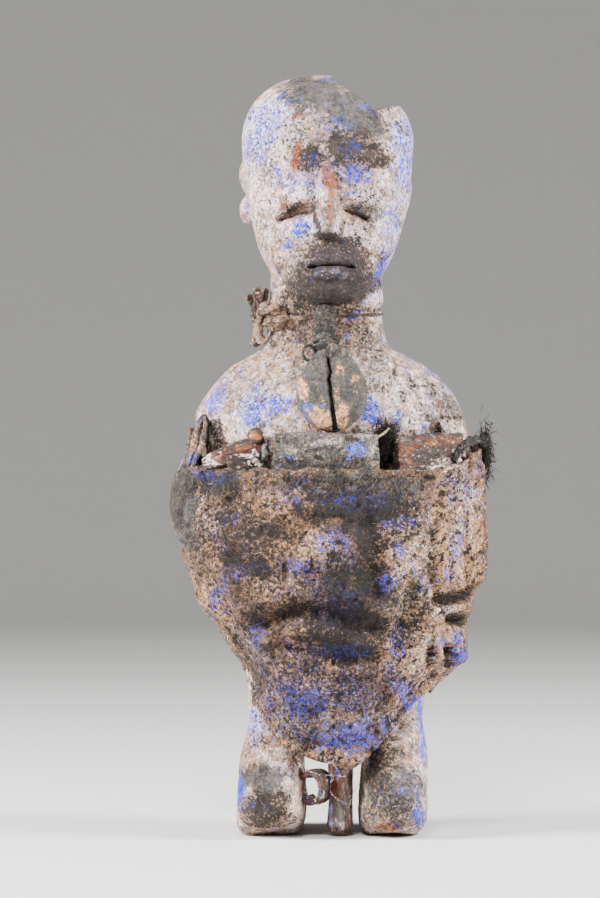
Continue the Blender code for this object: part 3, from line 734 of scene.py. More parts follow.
def face_depth(x, z, base):
    """How far the face reaches to the front at (x, z), in shares."""
    # brow, cheeks and the broad hollows of the eyes
    add = 0.006 * np.exp(-(((z - 0.842) / 0.01) ** 2)) * ramp(0.09, 0.05, np.abs(x))
    add += 0.005 * np.exp(-(((np.abs(x) - 0.05) / 0.024) ** 2) - ((z - 0.786) / 0.02) ** 2)
    add -= 0.0105 * np.exp(-(((np.abs(x + 0.001) - 0.044) / 0.024) ** 2) - ((z - 0.819) / 0.013) ** 2)
    # eyes: closed slits that slant down outwards, with the lids' swell above and below
    right = near_line(x, z, ((-0.0255, 0.8215), (-0.042, 0.8185), (-0.064, 0.8095)))
    left = near_line(x, z, ((0.0205, 0.824), (0.033, 0.8195), (0.048, 0.8105)))
    add += 0.0065 * np.exp(-(((x + 0.046) / 0.02) ** 2) - ((z - 0.8275) / 0.006) ** 2)
    add += 0.007 * np.exp(-(((x - 0.045) / 0.017) ** 2) - ((z - 0.8245) / 0.0085) ** 2)
    add -= 0.02 * np.exp(-((right / 0.005) ** 2)) - 0.0045 * np.exp(-((right / 0.0125) ** 2))
    add -= 0.015 * np.exp(-((left / 0.0036) ** 2)) - 0.0035 * np.exp(-((left / 0.0105) ** 2))
    # hollows beside the nose
    add -= 0.0045 * np.exp(-(((np.abs(x + 0.002) - 0.026) / 0.009) ** 2) - ((z - 0.812) / 0.022) ** 2)
    depth = base + add
    # muzzle
    away = np.hypot((x - 0.0035) / 0.0625, (z - 0.7405) / 0.049)
    muzzle = 0.082 + 0.052 * np.sqrt(np.clip(1 - away**2, 0, 1)) - 0.5 * np.maximum(0, away - 1)
    depth = soft_max(depth, muzzle, 0.003)
    # nose, a wedge with a flat underside
    t = np.clip((z - 0.788) / (0.884 - 0.788), 0, 1)
    middle = -0.002 - 0.003 * t
    half = 0.0225 * (1 - t) ** 0.9 + 0.0065 * t
    rise = (0.036 * (1 - t) ** 0.9 + 0.011 * (1 - t**4)) * ramp(0.7795, 0.7915, z) * (z < 0.89)
    across = np.clip(np.abs(x - middle) / half, 0, 1)
    depth = depth + rise * (1 - across**1.35) ** 0.9
    # mouth, a nearly level slit between two lips
    mouth = 0.7467 - 0.0028 * ((x - 0.002) / 0.029) ** 2
    wide = ramp(0.0325, 0.0265, np.abs(x - 0.0018))
    depth += 0.005 * wide * np.exp(-(((z - mouth - 0.008) / 0.005) ** 2))
    depth += 0.0075 * ramp(0.028, 0.014, np.abs(x - 0.002)) * np.exp(-(((z - mouth + 0.0085) / 0.0058) ** 2))
    depth -= 0.012 * wide * np.exp(-(((z - mouth) / 0.0015) ** 4))
    depth -= 0.0045 * np.exp(-(((z - 0.7245) / 0.006) ** 2)) * ramp(0.035, 0.01, np.abs(x - 0.003))
    return depth


def crown_cut(x):
    """The broken crown's height, left to right of the picture."""
    places = (-0.3, -0.004, 0.01, 0.026, 0.04, 0.052, 0.06, 0.07, 0.085, 0.095, 0.106, 0.12)
    heights = (1.1, 1.006, 0.994, 0.98, 0.97, 0.96, 0.9545, 0.956, 0.96, 0.959, 0.95, 0.92)
    return np.interp(x, places, heights)


def head_place(v):
    height = (1 + HEAD_FOOT) / 2 + (1 - HEAD_FOOT) / 2 * v[:, 2]
    level = np.sqrt(np.clip(1 - v[:, 2] ** 2, 0, 1))
    angle = front_dense(np.arctan2(v[:, 1], v[:, 0]), 0.42)
    x, y = outline(angle, *head_at(height), HEAD_SQUARE)
    x, y = x * level, y * level
    facing = ramp(0.01, 0.045, -y)
    y = np.where(y < 0, y * (1 - facing) - facing * face_depth(*seen(x, y, height), -y), y)
    cut = crown_cut(x) + 0.1 * np.minimum(y, 0)
    z = np.where(height > cut, cut + 0.04 * (height - cut), height)
    return np.stack([x, y, z], 1) * HEIGHT + AXIS


def trunk_place(u, v):
    height = np.interp(v, (0, 0.09, 1), (0.2, 0.44, 0.745))
    angle = front_dense(2 * math.pi * u - math.pi, 0.35)
    x, y = outline(angle, *trunk_at(height), TRUNK_SQUARE)
    return np.stack([x, y, height], 1) * HEIGHT + AXIS


def leg_piece(name, axis, worn):
    axis_at = through(axis)

    def place(u, v):
        height = LEG[-1][0] * v**1.06
        angle = front_dense(2 * math.pi * u - math.pi, 0.3)
        half, front, back = leg_at(height)
        x, y = outline(angle, half, half, front, back, FOOT_SQUARE)
        rounded = 1 - 0.1 * np.clip(1 - height / 0.022, 0, 1) ** 2
        x, y = x * rounded, y * rounded
        toe = worn * ramp(0.3, 1.0, -y / front) * ramp(0.05, 0.0, height)
        return np.stack([axis_at(height)[0] + x, y, height + toe], 1) * HEIGHT + AXIS

    return grid(name, 112, 92, place)


def make_figure():
    head = sphere("figure", 250, 190, head_place)
    shells = [
        grid("trunk", 208, 128, trunk_place),
        leg_piece("leg_r", LEG_RIGHT_AXIS, 0.018),
        leg_piece("leg_l", LEG_LEFT_AXIS, 0.01),
        lump("elbow", (-0.1735, -0.016, 0.436), (0.036, 0.046, 0.066), (0, 0, 0), 72, 52),
        lump("ear_a", (-0.1025, 0.006, 0.866), (0.0165, 0.03, 0.026), (0, -8, 0), 48, 32),
        lump("ear_b", (-0.1, 0.0, 0.8245), (0.018, 0.026, 0.023), (0, 8, 0), 48, 32),
        lump("ear_c", (0.0935, 0.002, 0.846), (0.0155, 0.027, 0.036), (0, 6, 0), 48, 32),
    ]
    lobe = positions(shells[5])
    flat = 0.806 * HEIGHT
    lobe[:, 2] = np.where(lobe[:, 2] < flat, flat + 0.06 * (lobe[:, 2] - flat), lobe[:, 2])
    set_positions(shells[5], lobe)
    for shell in shells:
        apply(head, "BOOLEAN", operation="UNION", solver="MANIFOLD", object=shell)
        bpy.data.objects.remove(shell)
    return head


def crust(p):
    """Relief of caked pigment: broad lumps, a flaking coat with crisp edges, cracks and grit.
    Returns the relief in metres, and where it has pits and cracks."""
    coated = ramp(-0.1, 0.02, fractal(p, 0.0075, 1, 4, 0.6) + 0.15)
    pits = ramp(0.45, 0.75, noise(p, 0.0016, 4))
    bent = p + 0.0006 * noise(p, 0.002, 8)[:, None]
    cracks = ramp(0.055, 0.0, edges(bent, 0.0062, 5)) * ramp(0.0, 0.4, noise(p, 0.014, 6) + 0.1)
    lumps, grit = fractal(p, 0.011, 2, 3), fractal(p, 0.0019, 3, 2, 0.7)
    relief = 0.00026 * lumps + 0.00014 * coated + 0.00007 * grit - 0.00016 * pits - 0.00014 * cracks
    return relief, np.maximum(pits, cracks)


# Where the figure's coat changes, in rows as marks takes them, read off
FIGURE_GRIME_AND_SHADE = (
    (4, 731, 64, 52, 0, 1.1), (4, 716, 52, 30, 0, 1.4), (23.8, 905, 26, 28, -10, 1.35),
    (-23.8, 889, 20, 18, 0, 1.25), (64.7, 894, 22, 18, 0, 0.95), (52, 842, 26, 14, 0, 0.5),
    # painted shade: (-47.6, 822.5) and (47.6, 828) in the eye slits, (-2, 787) under the nose
    (-47.6, 822.5, 18, 9, 22, 1), (47.6, 828, 14, 10, -15, 0.55), (-2, 787, 20.5, 6.5, 0, 1.4),
    # painted shadow: (-12, 684) under the chin, dark too at the stem's top; (-150, 520) in the gap between the
    # cloth's strap and the chest
    (-12, 684, 30, 16, 0, 0.8), (-150, 520, 14, 30, 20, 1.7), (66, 500, 20, 30, 0, 0.8),
    (-4, 500, 90, 14, 0, 0.6), (-78, 868, 14, 22, 0, 0.35), (88, 605, 7, 10, 0, 0.8),
    (150, 600, 6, 8, 0, 0.6), (78, 590, 5, 6, 0, 0.6), (110, 592, 8, 11, 25, 0.6),
    (133, 583, 9, 13, 25, 0.6), (97, 574, 6, 8, 0, 0.6), (-10, 660, 80, 30, 0, 0.58),
    # painted shadow: (142, 531) in the gap behind the two chips
    (142, 531, 5, 15, 0, 1.6), (45, 850, 50, 30, 0, 0.3), (-50, 905, 50, 30, 0, 0.26),
    # painted shade: (-80, 30) and, on the next line, (85, 30) on the front faces of the feet
    (120, 560, 6, 8, 0, 0.6), (-80, 30, 36, 28, 0, 1), (-100, 120, 30, 20, 30, 0.45),
    (85, 30, 40, 28, 0, 0.6), (68, 85, 22, 46, 0, 0.85), (70, 664, 6, 8, 0, 0.7),
    (-100, 72, 20, 18, 0, 0.4), (3, 736, 20, 5.2, 0, -1.3), (60, 706, 26, 6, 30, -1),
    # painted shade: (3, 747.5) in the mouth's slit, (-17.5, 806) and (16, 800) down the sides of the nose
    (3, 747.5, 30, 2.2, 0, 1.2), (-17.5, 806, 4.2, 26, 14, 0.95), (16, 800, 3.6, 20, -16, 0.8),
    (-22, 838, 6, 14, 20, 0.5), (-10, 645, 60, 40, 0, 0.35), (-195, 437, 30, 70, 0, 0.85),
    (3, 852, 50, 6, 0, 0.25),
)
FIGURE_ASH = (
    (8, 962, 72, 32, -24, 1.3), (-178, 437, 40, 70, 0, 1.2), (-80, 884, 16, 20, 0, 0.35),
    (4, 730, 64, 44, 0, 0.75), (165, 560, 20, 50, 30, 0.6), (-95, 583, 30, 12, 20, 0.4),
    (-92, 70, 36, 18, 0, 1), (80, 55, 50, 40, 0, 0.75), (-120, 575, 40, 20, 30, 0.35),
    (0, 920, 70, 40, 0, 0.4), (53, 818, 25, 14, 0, 0.65), (-40, 600, 16, 12, 0, 0.5),
    (-1, 808, 10, 28, 0, 0.6), (-10, 655, 80, 34, 0, 0.45),
)
FIGURE_BARE = (
    (-44, 890, 6.2, 21, -12, 1), (0, 864, 8.5, 25, 12, 1), (1, 826, 5.5, 28, 0, 0.55),
    (-58.5, 829, 8, 5, 30, 0.9), (10, 773, 20, 8, 0, 0.6), (6, 712, 4, 4, 0, 1), (25, 907, 8, 8, 0, 0.8),
    (-110, 815, 7, 5, 0, 0.9), (-48, 945, 12, 5, 15, 0.6), (75, 6, 20, 7, 0, 0.7),
    (148, 560, 10, 20, 30, 0.4), (-64, 520, 12, 9, 0, 0.6), (20, 768, 40, 12, 0, 0.55),
    (30, 700, 30, 12, 0, 0.3), (-40, 668, 30, 10, 0, 0.3), (-5, 655, 80, 34, 0, 0.22),
)
FIGURE_BLUE = (
    (-92, 925, 26, 50, -30, 0.7), (100, 905, 18, 70, 0, 0.75), (100, 780, 14, 50, -12, 0.6),
    (-110, 780, 10, 60, 10, 0.5), (-34, 800, 20, 11, 25, 0.9), (70, 742, 10, 26, -20, 1),
    (-112, 822, 8, 14, 0, 0.5), (30, 681.5, 12, 6, 10, 1.3), (24, 656, 5, 5, 0, 1.3),
    (-85, 558, 45, 18, 10, 0.85), (56, 555, 14, 18, 0, 0.9), (93, 545, 10, 10, 0, 0.9),
    (-150, 575, 12, 30, -35, 0.8), (78, 654, 8, 12, 0, 0.6), (30, 868, 14, 14, 0, 0.9),
    (50, 868, 12, 12, 0, 0.7), (-70, 876, 8, 10, 0, 0.8), (-118, 55, 6, 30, 0, 1), (-98, 34, 10, 10, 0, 1),
    (-83, 28, 6, 5, 0, 1), (-100, 140, 12, 30, 0, 0.7), (125, 150, 8, 50, 0, 0.9),
    (118, 20, 10, 16, 0, 0.8), (-20, 752, 30, 14, 0, 0.45), (30, 735, 30, 10, 0, 0.25),
    (82, 800, 12, 50, -8, 0.6), (-50, 776, 12, 10, 0, 0.6),
)
FIGURE_WHITE = (
    (-85, 930, 45, 45, -30, 0.9), (98, 905, 18, 60, 0, 0.9), (-33, 798, 22, 12, 25, 1),
    (34, 788, 36, 16, -20, 0.9), (-26, 796, 10, 18, 20, 1.1), (48, 838, 26, 8, -10, 1),
    (35, 936, 30, 8, 0, 0.8), (-40, 846, 30, 10, 0, 0.8), (45, 848, 20, 6, -10, 0.9),
    (-100, 560, 60, 30, 20, 0.7), (110, 575, 60, 40, -25, 0.55), (-40, 950, 30, 12, 20, 0.6),
    # painted highlight: (-66, 84) on the lit top of the foot
    (60, 705, 24, 7, 28, 1), (3, 736, 19, 4.2, 0, 1), (-66, 84, 26, 9, -40, 0.9), (-46, 35, 7, 44, 0, 0.35),
    (80, 560, 60, 60, 0, 0.35), (-80, 850, 30, 60, 0, 0.5), (85, 820, 25, 60, 0, 0.6),
    (120, 50, 12, 40, 0, 0.7), (-105, 170, 20, 50, 0, 0.3), (-10, 655, 90, 34, 0, -0.85),
    (-95, 530, 30, 18, 0, 0.7), (-28, 752, 8, 4, 0, 0.8),
)
FIGURE_NIGHT = (
    (4, 738, 52, 36, 0, 0.38), (26, 903, 20, 20, 0, 0.7), (-24, 889, 14, 12, 0, 0.75),
    (40, 870, 12, 12, 0, 0.5), (64, 894, 10, 10, 0, 0.3),
)

# How strongly each mask is flecked all over
FLECKS = {"grime": 0.42, "white": 0.42, "blue": 0.5, "clay": 0.6, "ash": 0.4}


def make_coat(obj, rows, hollow, extra):
    """Paint the masks that the caked finishes read: rows of marks, dirt and painted shade in the hollows,
    extras.
    """
    p = positions(obj)
    for name, table in rows.items():
        values = marks(p, table)
        flecks = fractal(p, 0.01, 300 + len(name), 5, 0.7)
        values = np.maximum(values, FLECKS.get(name, 0) * ramp(0.1, 0.75, flecks))
        if name == "grime":
            values = np.maximum(values, 0.85 * hollow)
        if name in extra:
            values = np.maximum(values, extra[name](p))
        paint(obj, name, values)


def figure_extras():
    """The back and sides, plainer: the same coats in loose broad patches."""
    def loose(seed, size, low, high, where):
        return lambda p: ramp(low, high, fractal(p, size, seed, 3)) * where(p)

    def behind(p):
        return ramp(-0.004, 0.012, p[:, 1])

    def arm(p):
        outer = ramp(-0.0335, -0.0362, p[:, 0]) * ramp(0.103, 0.097, p[:, 2]) * ramp(0.068, 0.074, p[:, 2])
        return outer * (0.65 + 0.5 * fractal(p, 0.006, 66, 3))

    return {
        "ash": lambda p: np.maximum(arm(p), 0.6 * loose(78, 0.026, 0.1, 0.6, behind)(p)),
        "blue": loose(79, 0.016, 0.2, 0.6, lambda p: 0.6 * behind(p)),
        "white": loose(62, 0.016, 0.0, 0.5, lambda p: 0.6 * behind(p)),
        "grime": loose(84, 0.018, 0.2, 0.7, lambda p: 0.55 * behind(p)),
        "bare": loose(77, 0.012, 0.4, 0.7, lambda p: 0.6 * behind(p) * (p[:, 2] < 0.12)),
    }


def finish_figure():
    figure = make_figure()
    co, no = positions(figure), normals(figure)
    relief, hollow = crust(co)
    x, y, z = share_places(co)
    # the coat is thin on the head, thick and crumbly on the neck and chest
    thick = 0.75 + 0.5 * ramp(0.7, 0.62, z) + 0.5 * ramp(0.1, 0.02, z)
    collar = 0.681 + 0.004 * np.cos(np.arctan2(y, x) - 0.6)
    at_neck = np.exp(-(((z - collar - 0.006) / 0.0022) ** 2)) * ramp(0.11, 0.09, np.hypot(x, y))
    crumbs = ramp(0.1, 0.6, noise(co, 0.0024, 30)) * ramp(0.715, 0.7, z) * ramp(0.6, 0.64, z)
    hidden = ramp(0.455, 0.435, z) * ramp(0.215, 0.245, z) * (x > -0.1795)
    push = (relief * thick + 0.00035 * crumbs - 0.00035 * at_neck) * (1 - hidden)
    under = ramp(0.46, 0.43, z) * ramp(0.228, 0.252, z) * ramp(-0.178, -0.166, x) * ramp(0.1, 0.02, y)
    push = push - under * (0.003 + 0.0022 * ramp(0.08, 0.13, x))
    co = co + no * push[:, None]
    co[:, 2] = np.maximum(co[:, 2], 0.0)
    set_positions(figure, co)
    make_coat(
        figure,
        {
            "white": FIGURE_WHITE, "ash": FIGURE_ASH, "bare": FIGURE_BARE,
            "blue": FIGURE_BLUE, "grime": FIGURE_GRIME_AND_SHADE, "night": FIGURE_NIGHT,
        },
        # the grime mask is darkened in the crust's pits and cracks, and as painted shade in the groove above
        # the neck cord
        np.maximum(0.5 * hollow, at_neck), figure_extras(),
    )
    stand(figure, "caked_wood", "figure")


# The cloth pouch

SAGS = (
    # crease lines in the front of the cloth (x, z), depth and reach in shares
    (((-0.158, 0.378), (-0.118, 0.36), (-0.085, 0.342), (-0.062, 0.338)), 0.014, 0.0085),
    (((-0.09, 0.276), (-0.045, 0.2925), (-0.005, 0.293), (0.035, 0.279), (0.06, 0.268)), 0.014, 0.0085),
    (((-0.06, 0.2485), (-0.01, 0.235), (0.03, 0.2285), (0.058, 0.232)), 0.0085, 0.0065),
    (((-0.12, 0.425), (-0.05, 0.402), (0.015, 0.405), (0.05, 0.415)), 0.006, 0.011),
    (((-0.17, 0.447), (-0.158, 0.432), (-0.14, 0.43), (-0.126, 0.446)), 0.005, 0.005),
    (((0.062, 0.4), (0.056, 0.36), (0.066, 0.32)), 0.006, 0.01),
    (((0.104, 0.32), (0.088, 0.25), (0.072, 0.19), (0.058, 0.14)), 0.008, 0.009),
    (((0.15, 0.47), (0.14, 0.4), (0.134, 0.34), (0.142, 0.304)), 0.008, 0.006),
    (((0.168, 0.48), (0.162, 0.4), (0.16, 0.35), (0.166, 0.316)), 0.007, 0.005),
    (((0.186, 0.47), (0.18, 0.4), (0.178, 0.35), (0.184, 0.316)), 0.006, 0.005),
    (((-0.166, 0.35), (-0.135, 0.29), (-0.108, 0.235), (-0.096, 0.19)), 0.008, 0.007),
    (((0.08, 0.15), (0.11, 0.19), (0.14, 0.215)), 0.006, 0.006),
    (((0.12, 0.27), (0.1, 0.268), (0.08, 0.285)), 0.005, 0.005),
    (((-0.04, 0.12), (0.01, 0.108), (0.05, 0.125)), 0.004, 0.006),
    (((-0.1, 0.31), (-0.06, 0.318), (-0.02, 0.33)), 0.005, 0.008),
    (((-0.17, 0.474), (-0.173, 0.44), (-0.176, 0.405), (-0.186, 0.38)), 0.008, 0.0032),
)
HOLES = (
    # deep hollows on the right: line, depth, reach
    (((0.144, 0.304), (0.16, 0.306), (0.178, 0.313), (0.193, 0.323)), 0.027, 0.0058),
    (((0.158, 0.283), (0.174, 0.279)), 0.026, 0.0062),
    (((0.133, 0.24), (0.134, 0.222)), 0.024, 0.0046),
    (((0.156, 0.244), (0.155, 0.235)), 0.022, 0.0044),
    (((0.1545, 0.226), (0.156, 0.221)), 0.01, 0.0045),
)
KNOBS = (
    # lumps that stand out: x, z, radii, rise
    (0.169, 0.237, 0.01, 0.022, 0.011), (0.13, 0.254, 0.008, 0.008, 0.0075),
    (0.15, 0.294, 0.024, 0.005, 0.006), (0.178, 0.293, 0.01, 0.006, 0.006),
    (0.15, 0.265, 0.022, 0.006, 0.005), (0.142, 0.233, 0.006, 0.02, 0.0045),
    (-0.183, 0.42, 0.006, 0.034, 0.005), (0.187, 0.328, 0.008, 0.006, 0.005),
    (-0.03, 0.375, 0.05, 0.024, 0.003), (-0.015, 0.262, 0.045, 0.013, 0.003),
    (0.105, 0.37, 0.04, 0.05, 0.003),
)


def cloth_skin(angle, t):
    """The cloth's outer skin with its folds, in shares: round the figure, and up from the hem."""
    degrees = np.degrees(angle)
    low, top = cloth_low(degrees)[0], cloth_top(degrees)[0]
    ring = np.stack([np.cos(angle), np.sin(angle), 0 * angle], 1)
    low = low + 0.0045 * fractal(ring, 0.22, 70, 4) + 0.008 * ramp(-0.1, -0.8, ring[:, 1])
    top = top + 0.0025 * fractal(ring, 0.16, 71, 4)
    height = low + (top - low) * t
    x, y = outline(angle, *cloth_at(height), TRUNK_SQUARE)
    out = np.hypot(x, y)
    front = ramp(0.02, -0.03, y)
    push = 0.0
    sx, sz = seen(x, y, height)
    for line, depth, reach in SAGS:
        away = near_line(sx, sz, line)
        reach = 1.45 * reach
        push = push - front * 0.85 * depth * np.exp(-((away / reach) ** 2))
        push = push + front * 0.4 * depth * np.exp(-(((away - 2.0 * reach) / reach) ** 2))
    for line, depth, reach in HOLES:
        push = push - ramp(0.012, -0.045, y) * depth * np.exp(-((near_line(sx, sz, line) / reach) ** 4))
    for px, pz, rx, rz, rise in KNOBS:
        push = push + front * rise * np.exp(-(((sx - px) / rx) ** 2 + ((sz - pz) / rz) ** 2))
    p = np.stack([x, y, height], 1)
    push = push - 0.014 * ramp(-0.15, -0.175, sx) * np.exp(-(((sz - 0.458) / 0.013) ** 2)) * ramp(0.06, 0.0, y)
    # drawn up in long folds at the back and sides, and over the right hand corner
    pleats = np.sin(13 * angle + 5.0 * noise(p, 0.16, 72)) * (1 - front)
    side = ramp(0.125, 0.165, x) * ramp(0.3, 0.34, height)
    ropes = np.sin(260 * x + 14 * noise(p * [1, 1, 0.35], 0.07, 73)) * side
    lumps = fractal(p * [0.8, 0.8, 1.3], 0.06, 74, 4)
    push = push + 0.003 * pleats + 0.003 * ropes + 0.0026 * lumps
    # a rolled rim along the mouth
    rim = np.exp(-((((top - height) - 0.006) / 0.006) ** 2))
    push = push + 0.0022 * rim * (0.6 + 0.4 * noise(p, 0.03, 75))
    scale = 1 + push / out
    return np.stack([x * scale, y * scale, height], 1)


def make_wrap():
    def place(u, v):
        return cloth_skin(front_dense(2 * math.pi * u - math.pi, 0.45), v) * HEIGHT + AXIS

    wrap = grid("wrap", 300, 138, place, closed=False)
    merge_doubles(wrap)
    co, no = positions(wrap), normals(wrap)
    if np.mean(np.sum(no[:, :2] * (co - AXIS)[:, :2], 1)) < 0:
        wrap.data.flip_normals()
    # crumbly crust over a fibrous weave
    along = co * np.array((1, 1, 1.6))
    crumbs = fractal(co, 0.0022, 80, 4, 0.75)
    weave = fractal(along, 0.0011, 81, 2, 0.8)
    flakes = ramp(0.0, 0.12, fractal(co, 0.0055, 82, 4, 0.6))
    pits = ramp(0.35, 0.7, noise(co, 0.0014, 83))
    relief = 0.00034 * crumbs + 0.00014 * weave + 0.00018 * flakes - 0.00028 * pits
    # drawn together under the mouth: small creases that run level
    gathered = ramp(0.425, 0.455, share_places(co)[2])
    relief = relief - 0.0006 * gathered * np.abs(fractal(co * np.array((0.3, 0.3, 1.5)), 0.0032, 85, 3))
    push_out(wrap, relief)
    apply(wrap, "SOLIDIFY", thickness=0.0013, offset=-1)
    return wrap


CLOTH_GRIME_AND_SHADE = (
    (37, 430, 70, 24, 0, 1), (44, 390, 26, 36, 0, 1.1), (28, 326, 46, 44, 0, 1), (28, 262, 70, 36, 0, 1),
    (-60, 210, 60, 60, 30, 0.4), (-120, 400, 60, 60, 0, 0.62), (-100, 300, 50, 50, 0, 0.4),
    # painted shadow: (-111, 353) along the crease at the left
    (20, 190, 60, 50, 0, 0.45), (-111, 353, 44, 14, -25, 1), (-100, 392, 60, 24, -8, 0.55),
    (-148, 458, 28, 18, 0, 0.8), (-100, 300, 30, 50, 35, 0.45), (10, 460, 100, 16, 0, 0.5),
    # painted shade: (170, 312), (166, 281), (133.5, 231) and (155.5, 239) in the deep hollows, (-10, 236) along
    # the lowest crease
    (-60, 290, 30, 10, 15, 0.8), (170, 312, 26, 8, 12, 1), (166, 281, 14, 9, 0, 0.9),
    (133.5, 231, 6, 14, 0, 1), (155.5, 239, 6, 8, 0, 1), (-10, 236, 60, 7, -8, 0.7),
    (-20, 190, 70, 30, 0, 0.35), (85, 300, 10, 30, 0, 0.5), (100, 400, 20, 20, 0, 0.45),
    (170, 400, 36, 80, 0, -0.85),
)
CLOTH_CLAY = (
    (-34, 378, 50, 24, -8, 0.62), (-20, 262, 46, 14, 4, 1), (100, 375, 36, 50, 0, 0.7),
    (168, 400, 34, 90, 0, 1.3), (-160, 400, 12, 60, 10, 0.7), (-150, 290, 18, 60, 32, 0.8),
    (-80, 430, 40, 16, 0, 0.8), (-90, 320, 30, 16, -10, 0.8), (110, 240, 50, 70, 0, 0.8),
    (150, 260, 40, 60, 0, 0.8), (-6, 104, 60, 10, -12, 1.1), (-20, 205, 50, 20, 0, 0.6),
    (88, 128, 10, 34, -35, 1.1), (20, 150, 40, 10, 0, 0.6),
)
CLOTH_ASH = (
    (30, 462, 95, 14, 0, 0.9), (-148, 462, 26, 14, 0, 0.8), (-186, 430, 9, 46, 0, 1.3),
    (10, 336, 50, 30, 0, 0.5), (90, 455, 30, 16, 0, 0.8), (-20, 150, 60, 40, 0, 0.35),
    (-90, 230, 20, 50, 35, 0.3),
)
CLOTH_WHITE = (
    (106, 385, 48, 50, 0, 0.6), (105, 310, 36, 40, 0, 0.7), (130, 254, 10, 10, 0, 1),
    (108, 235, 40, 60, 0, 0.6), (-164, 408, 20, 30, 0, 0.6), (-20, 380, 30, 20, 0, 0.5),
    (172, 420, 22, 80, 0, 0.75), (-80, 330, 30, 12, 0, 0.5), (150, 290, 30, 10, 0, 0.9),
    (0, 160, 60, 40, 0, 0.3), (168, 262, 14, 20, 0, 0.5), (76, 146, 20, 30, 40, 0.5),
)
CLOTH_BLUE = (
    (12, 380, 26, 26, 0, 0.66), (-36, 347, 30, 18, 0, 0.66), (94, 408, 34, 12, 0, 0.8),
    (166, 372, 10, 44, -12, 0.65), (74, 330, 16, 14, 0, 0.9), (86, 256, 12, 26, 0, 0.9),
    (-38, 174, 50, 28, 0, 0.8), (20, 180, 46, 34, 0, 0.5), (-118, 340, 12, 10, 0, 0.8),
    (-148, 310, 12, 30, -20, 0.7), (169, 237, 12, 26, 0, 1.15), (30, 122, 60, 30, 0, 0.8),
    (-160, 470, 20, 8, -20, 0.9), (60, 440, 20, 8, 0, 0.6), (-40, 462, 10, 6, 0, 0.8),
    (-48, 438, 6, 5, 0, 1.2), (10, 236, 40, 10, 0, 0.8), (-96, 262, 12, 20, 0, 0.7),
    (150, 250, 10, 8, 0, 0.8), (180, 450, 4, 30, 0, 0.8), (94, 372, 12, 18, 0, 0.75),
    (98, 180, 14, 40, 30, 0.8), (-128, 412, 16, 12, 0, 0.6),
)
CLOTH_NIGHT = (
    (30, 440, 60, 14, 0, 0.5), (-150, 468, 26, 8, 0, 0.7), (10, 300, 50, 30, 0, 0.4),
    (20, 240, 50, 10, 0, 0.7), (-20, 190, 60, 40, 0, 0.5), (-120, 348, 30, 10, 0, 0.5),
    (169, 236, 10, 20, 0, 0.6),
)


def finish_wrap():
    wrap = make_wrap()
    p = positions(wrap)
    x, y, z = share_places(p)
    sx, sz = seen(x, y, z)
    # the grime mask: darker in the pits, and painted shade in the deep hollows and along the creases
    hollow = ramp(0.3, 0.65, noise(p, 0.0014, 83))
    for line, depth, reach in HOLES:
        deep = 1.4 * np.exp(-((near_line(sx, sz, line) / reach) ** 4)) * ramp(0.012, -0.04, y)
        hollow = np.maximum(hollow, deep)
    for line, depth, reach in SAGS:
        sag = 48 * depth * np.exp(-((near_line(sx, sz, line) / (1.1 * reach)) ** 2)) * (y < 0.02)
        hollow = np.maximum(hollow, np.minimum(sag, 1))
    behind = ramp(0.0, 0.02, p[:, 1])
    extra = {
        "white": lambda q: 0.5 * behind * ramp(0.0, 0.5, fractal(q, 0.012, 90, 3)),
        "blue": lambda q: 0.7 * behind * ramp(0.2, 0.6, fractal(q, 0.01, 91, 3)),
        "grime": lambda q: 0.6 * behind * ramp(0.1, 0.5, fractal(q, 0.015, 92, 3)),
        "ash": lambda q: 0.5 * behind * ramp(0.2, 0.6, fractal(q, 0.016, 93, 3)),
    }
    make_coat(
        wrap,
        {
            "clay": CLOTH_CLAY, "white": CLOTH_WHITE, "ash": CLOTH_ASH,
            "blue": CLOTH_BLUE, "grime": CLOTH_GRIME_AND_SHADE, "night": CLOTH_NIGHT,
        },
        hollow, extra,
    )
    stand(wrap, "caked_cloth", "wrap")


def finish_fibres():
    """Loose ends of the cloth's yarn, pressed into the crust or sprung from the hems."""
    chance = np.random.default_rng(5)
    lines, radii = [], []
    for _ in range(80):
        angle = chance.uniform(-math.pi, 0.15) if chance.random() < 0.8 else chance.uniform(0, math.pi)
        t = chance.uniform(0.03, 0.98)
        across = chance.uniform(0.06, 0.3) * chance.choice((-1, 1))
        upright = 0.8 if angle > -0.7 else 0.22
        rise = chance.normal(0, upright) * 0.14
        s = np.linspace(0, 1, 12)
        bow = chance.normal(0, 0.02)
        angles = angle + across * s * (0.35 if angle > -0.7 else 1.0)
        ts = np.clip(t + rise * s + bow * np.sin(math.pi * s), 0.01, 0.995)
        skin = cloth_skin(angles, ts)
        out = skin[:, :2] / np.linalg.norm(skin[:, :2], axis=1)[:, None]
        lift = 0.001 + 0.0012 * np.abs(np.sin(math.pi * s * chance.uniform(0.6, 2.5)))
        skin[:, :2] += out * lift[:, None]
        lines.append(skin * HEIGHT + AXIS)
        radii.append(chance.uniform(0.00004, 0.00008))
    strands = fibres("wrap_fibres", lines, radii)
    p = positions(strands)
    paint(strands, "white", 0.8 * ramp(-0.2, 0.5, noise(p, 0.01, 95)))
    paint(strands, "grime", 0.7 * ramp(0.1, 0.5, noise(p, 0.008, 96)))
    stand(strands, "caked_cloth")


# The shell at the neck

SHELL_LEAN = math.radians(14)
SHELL_LENGTH, SHELL_WIDTH, SHELL_DEPTH = 0.0232, 0.018, 0.0092


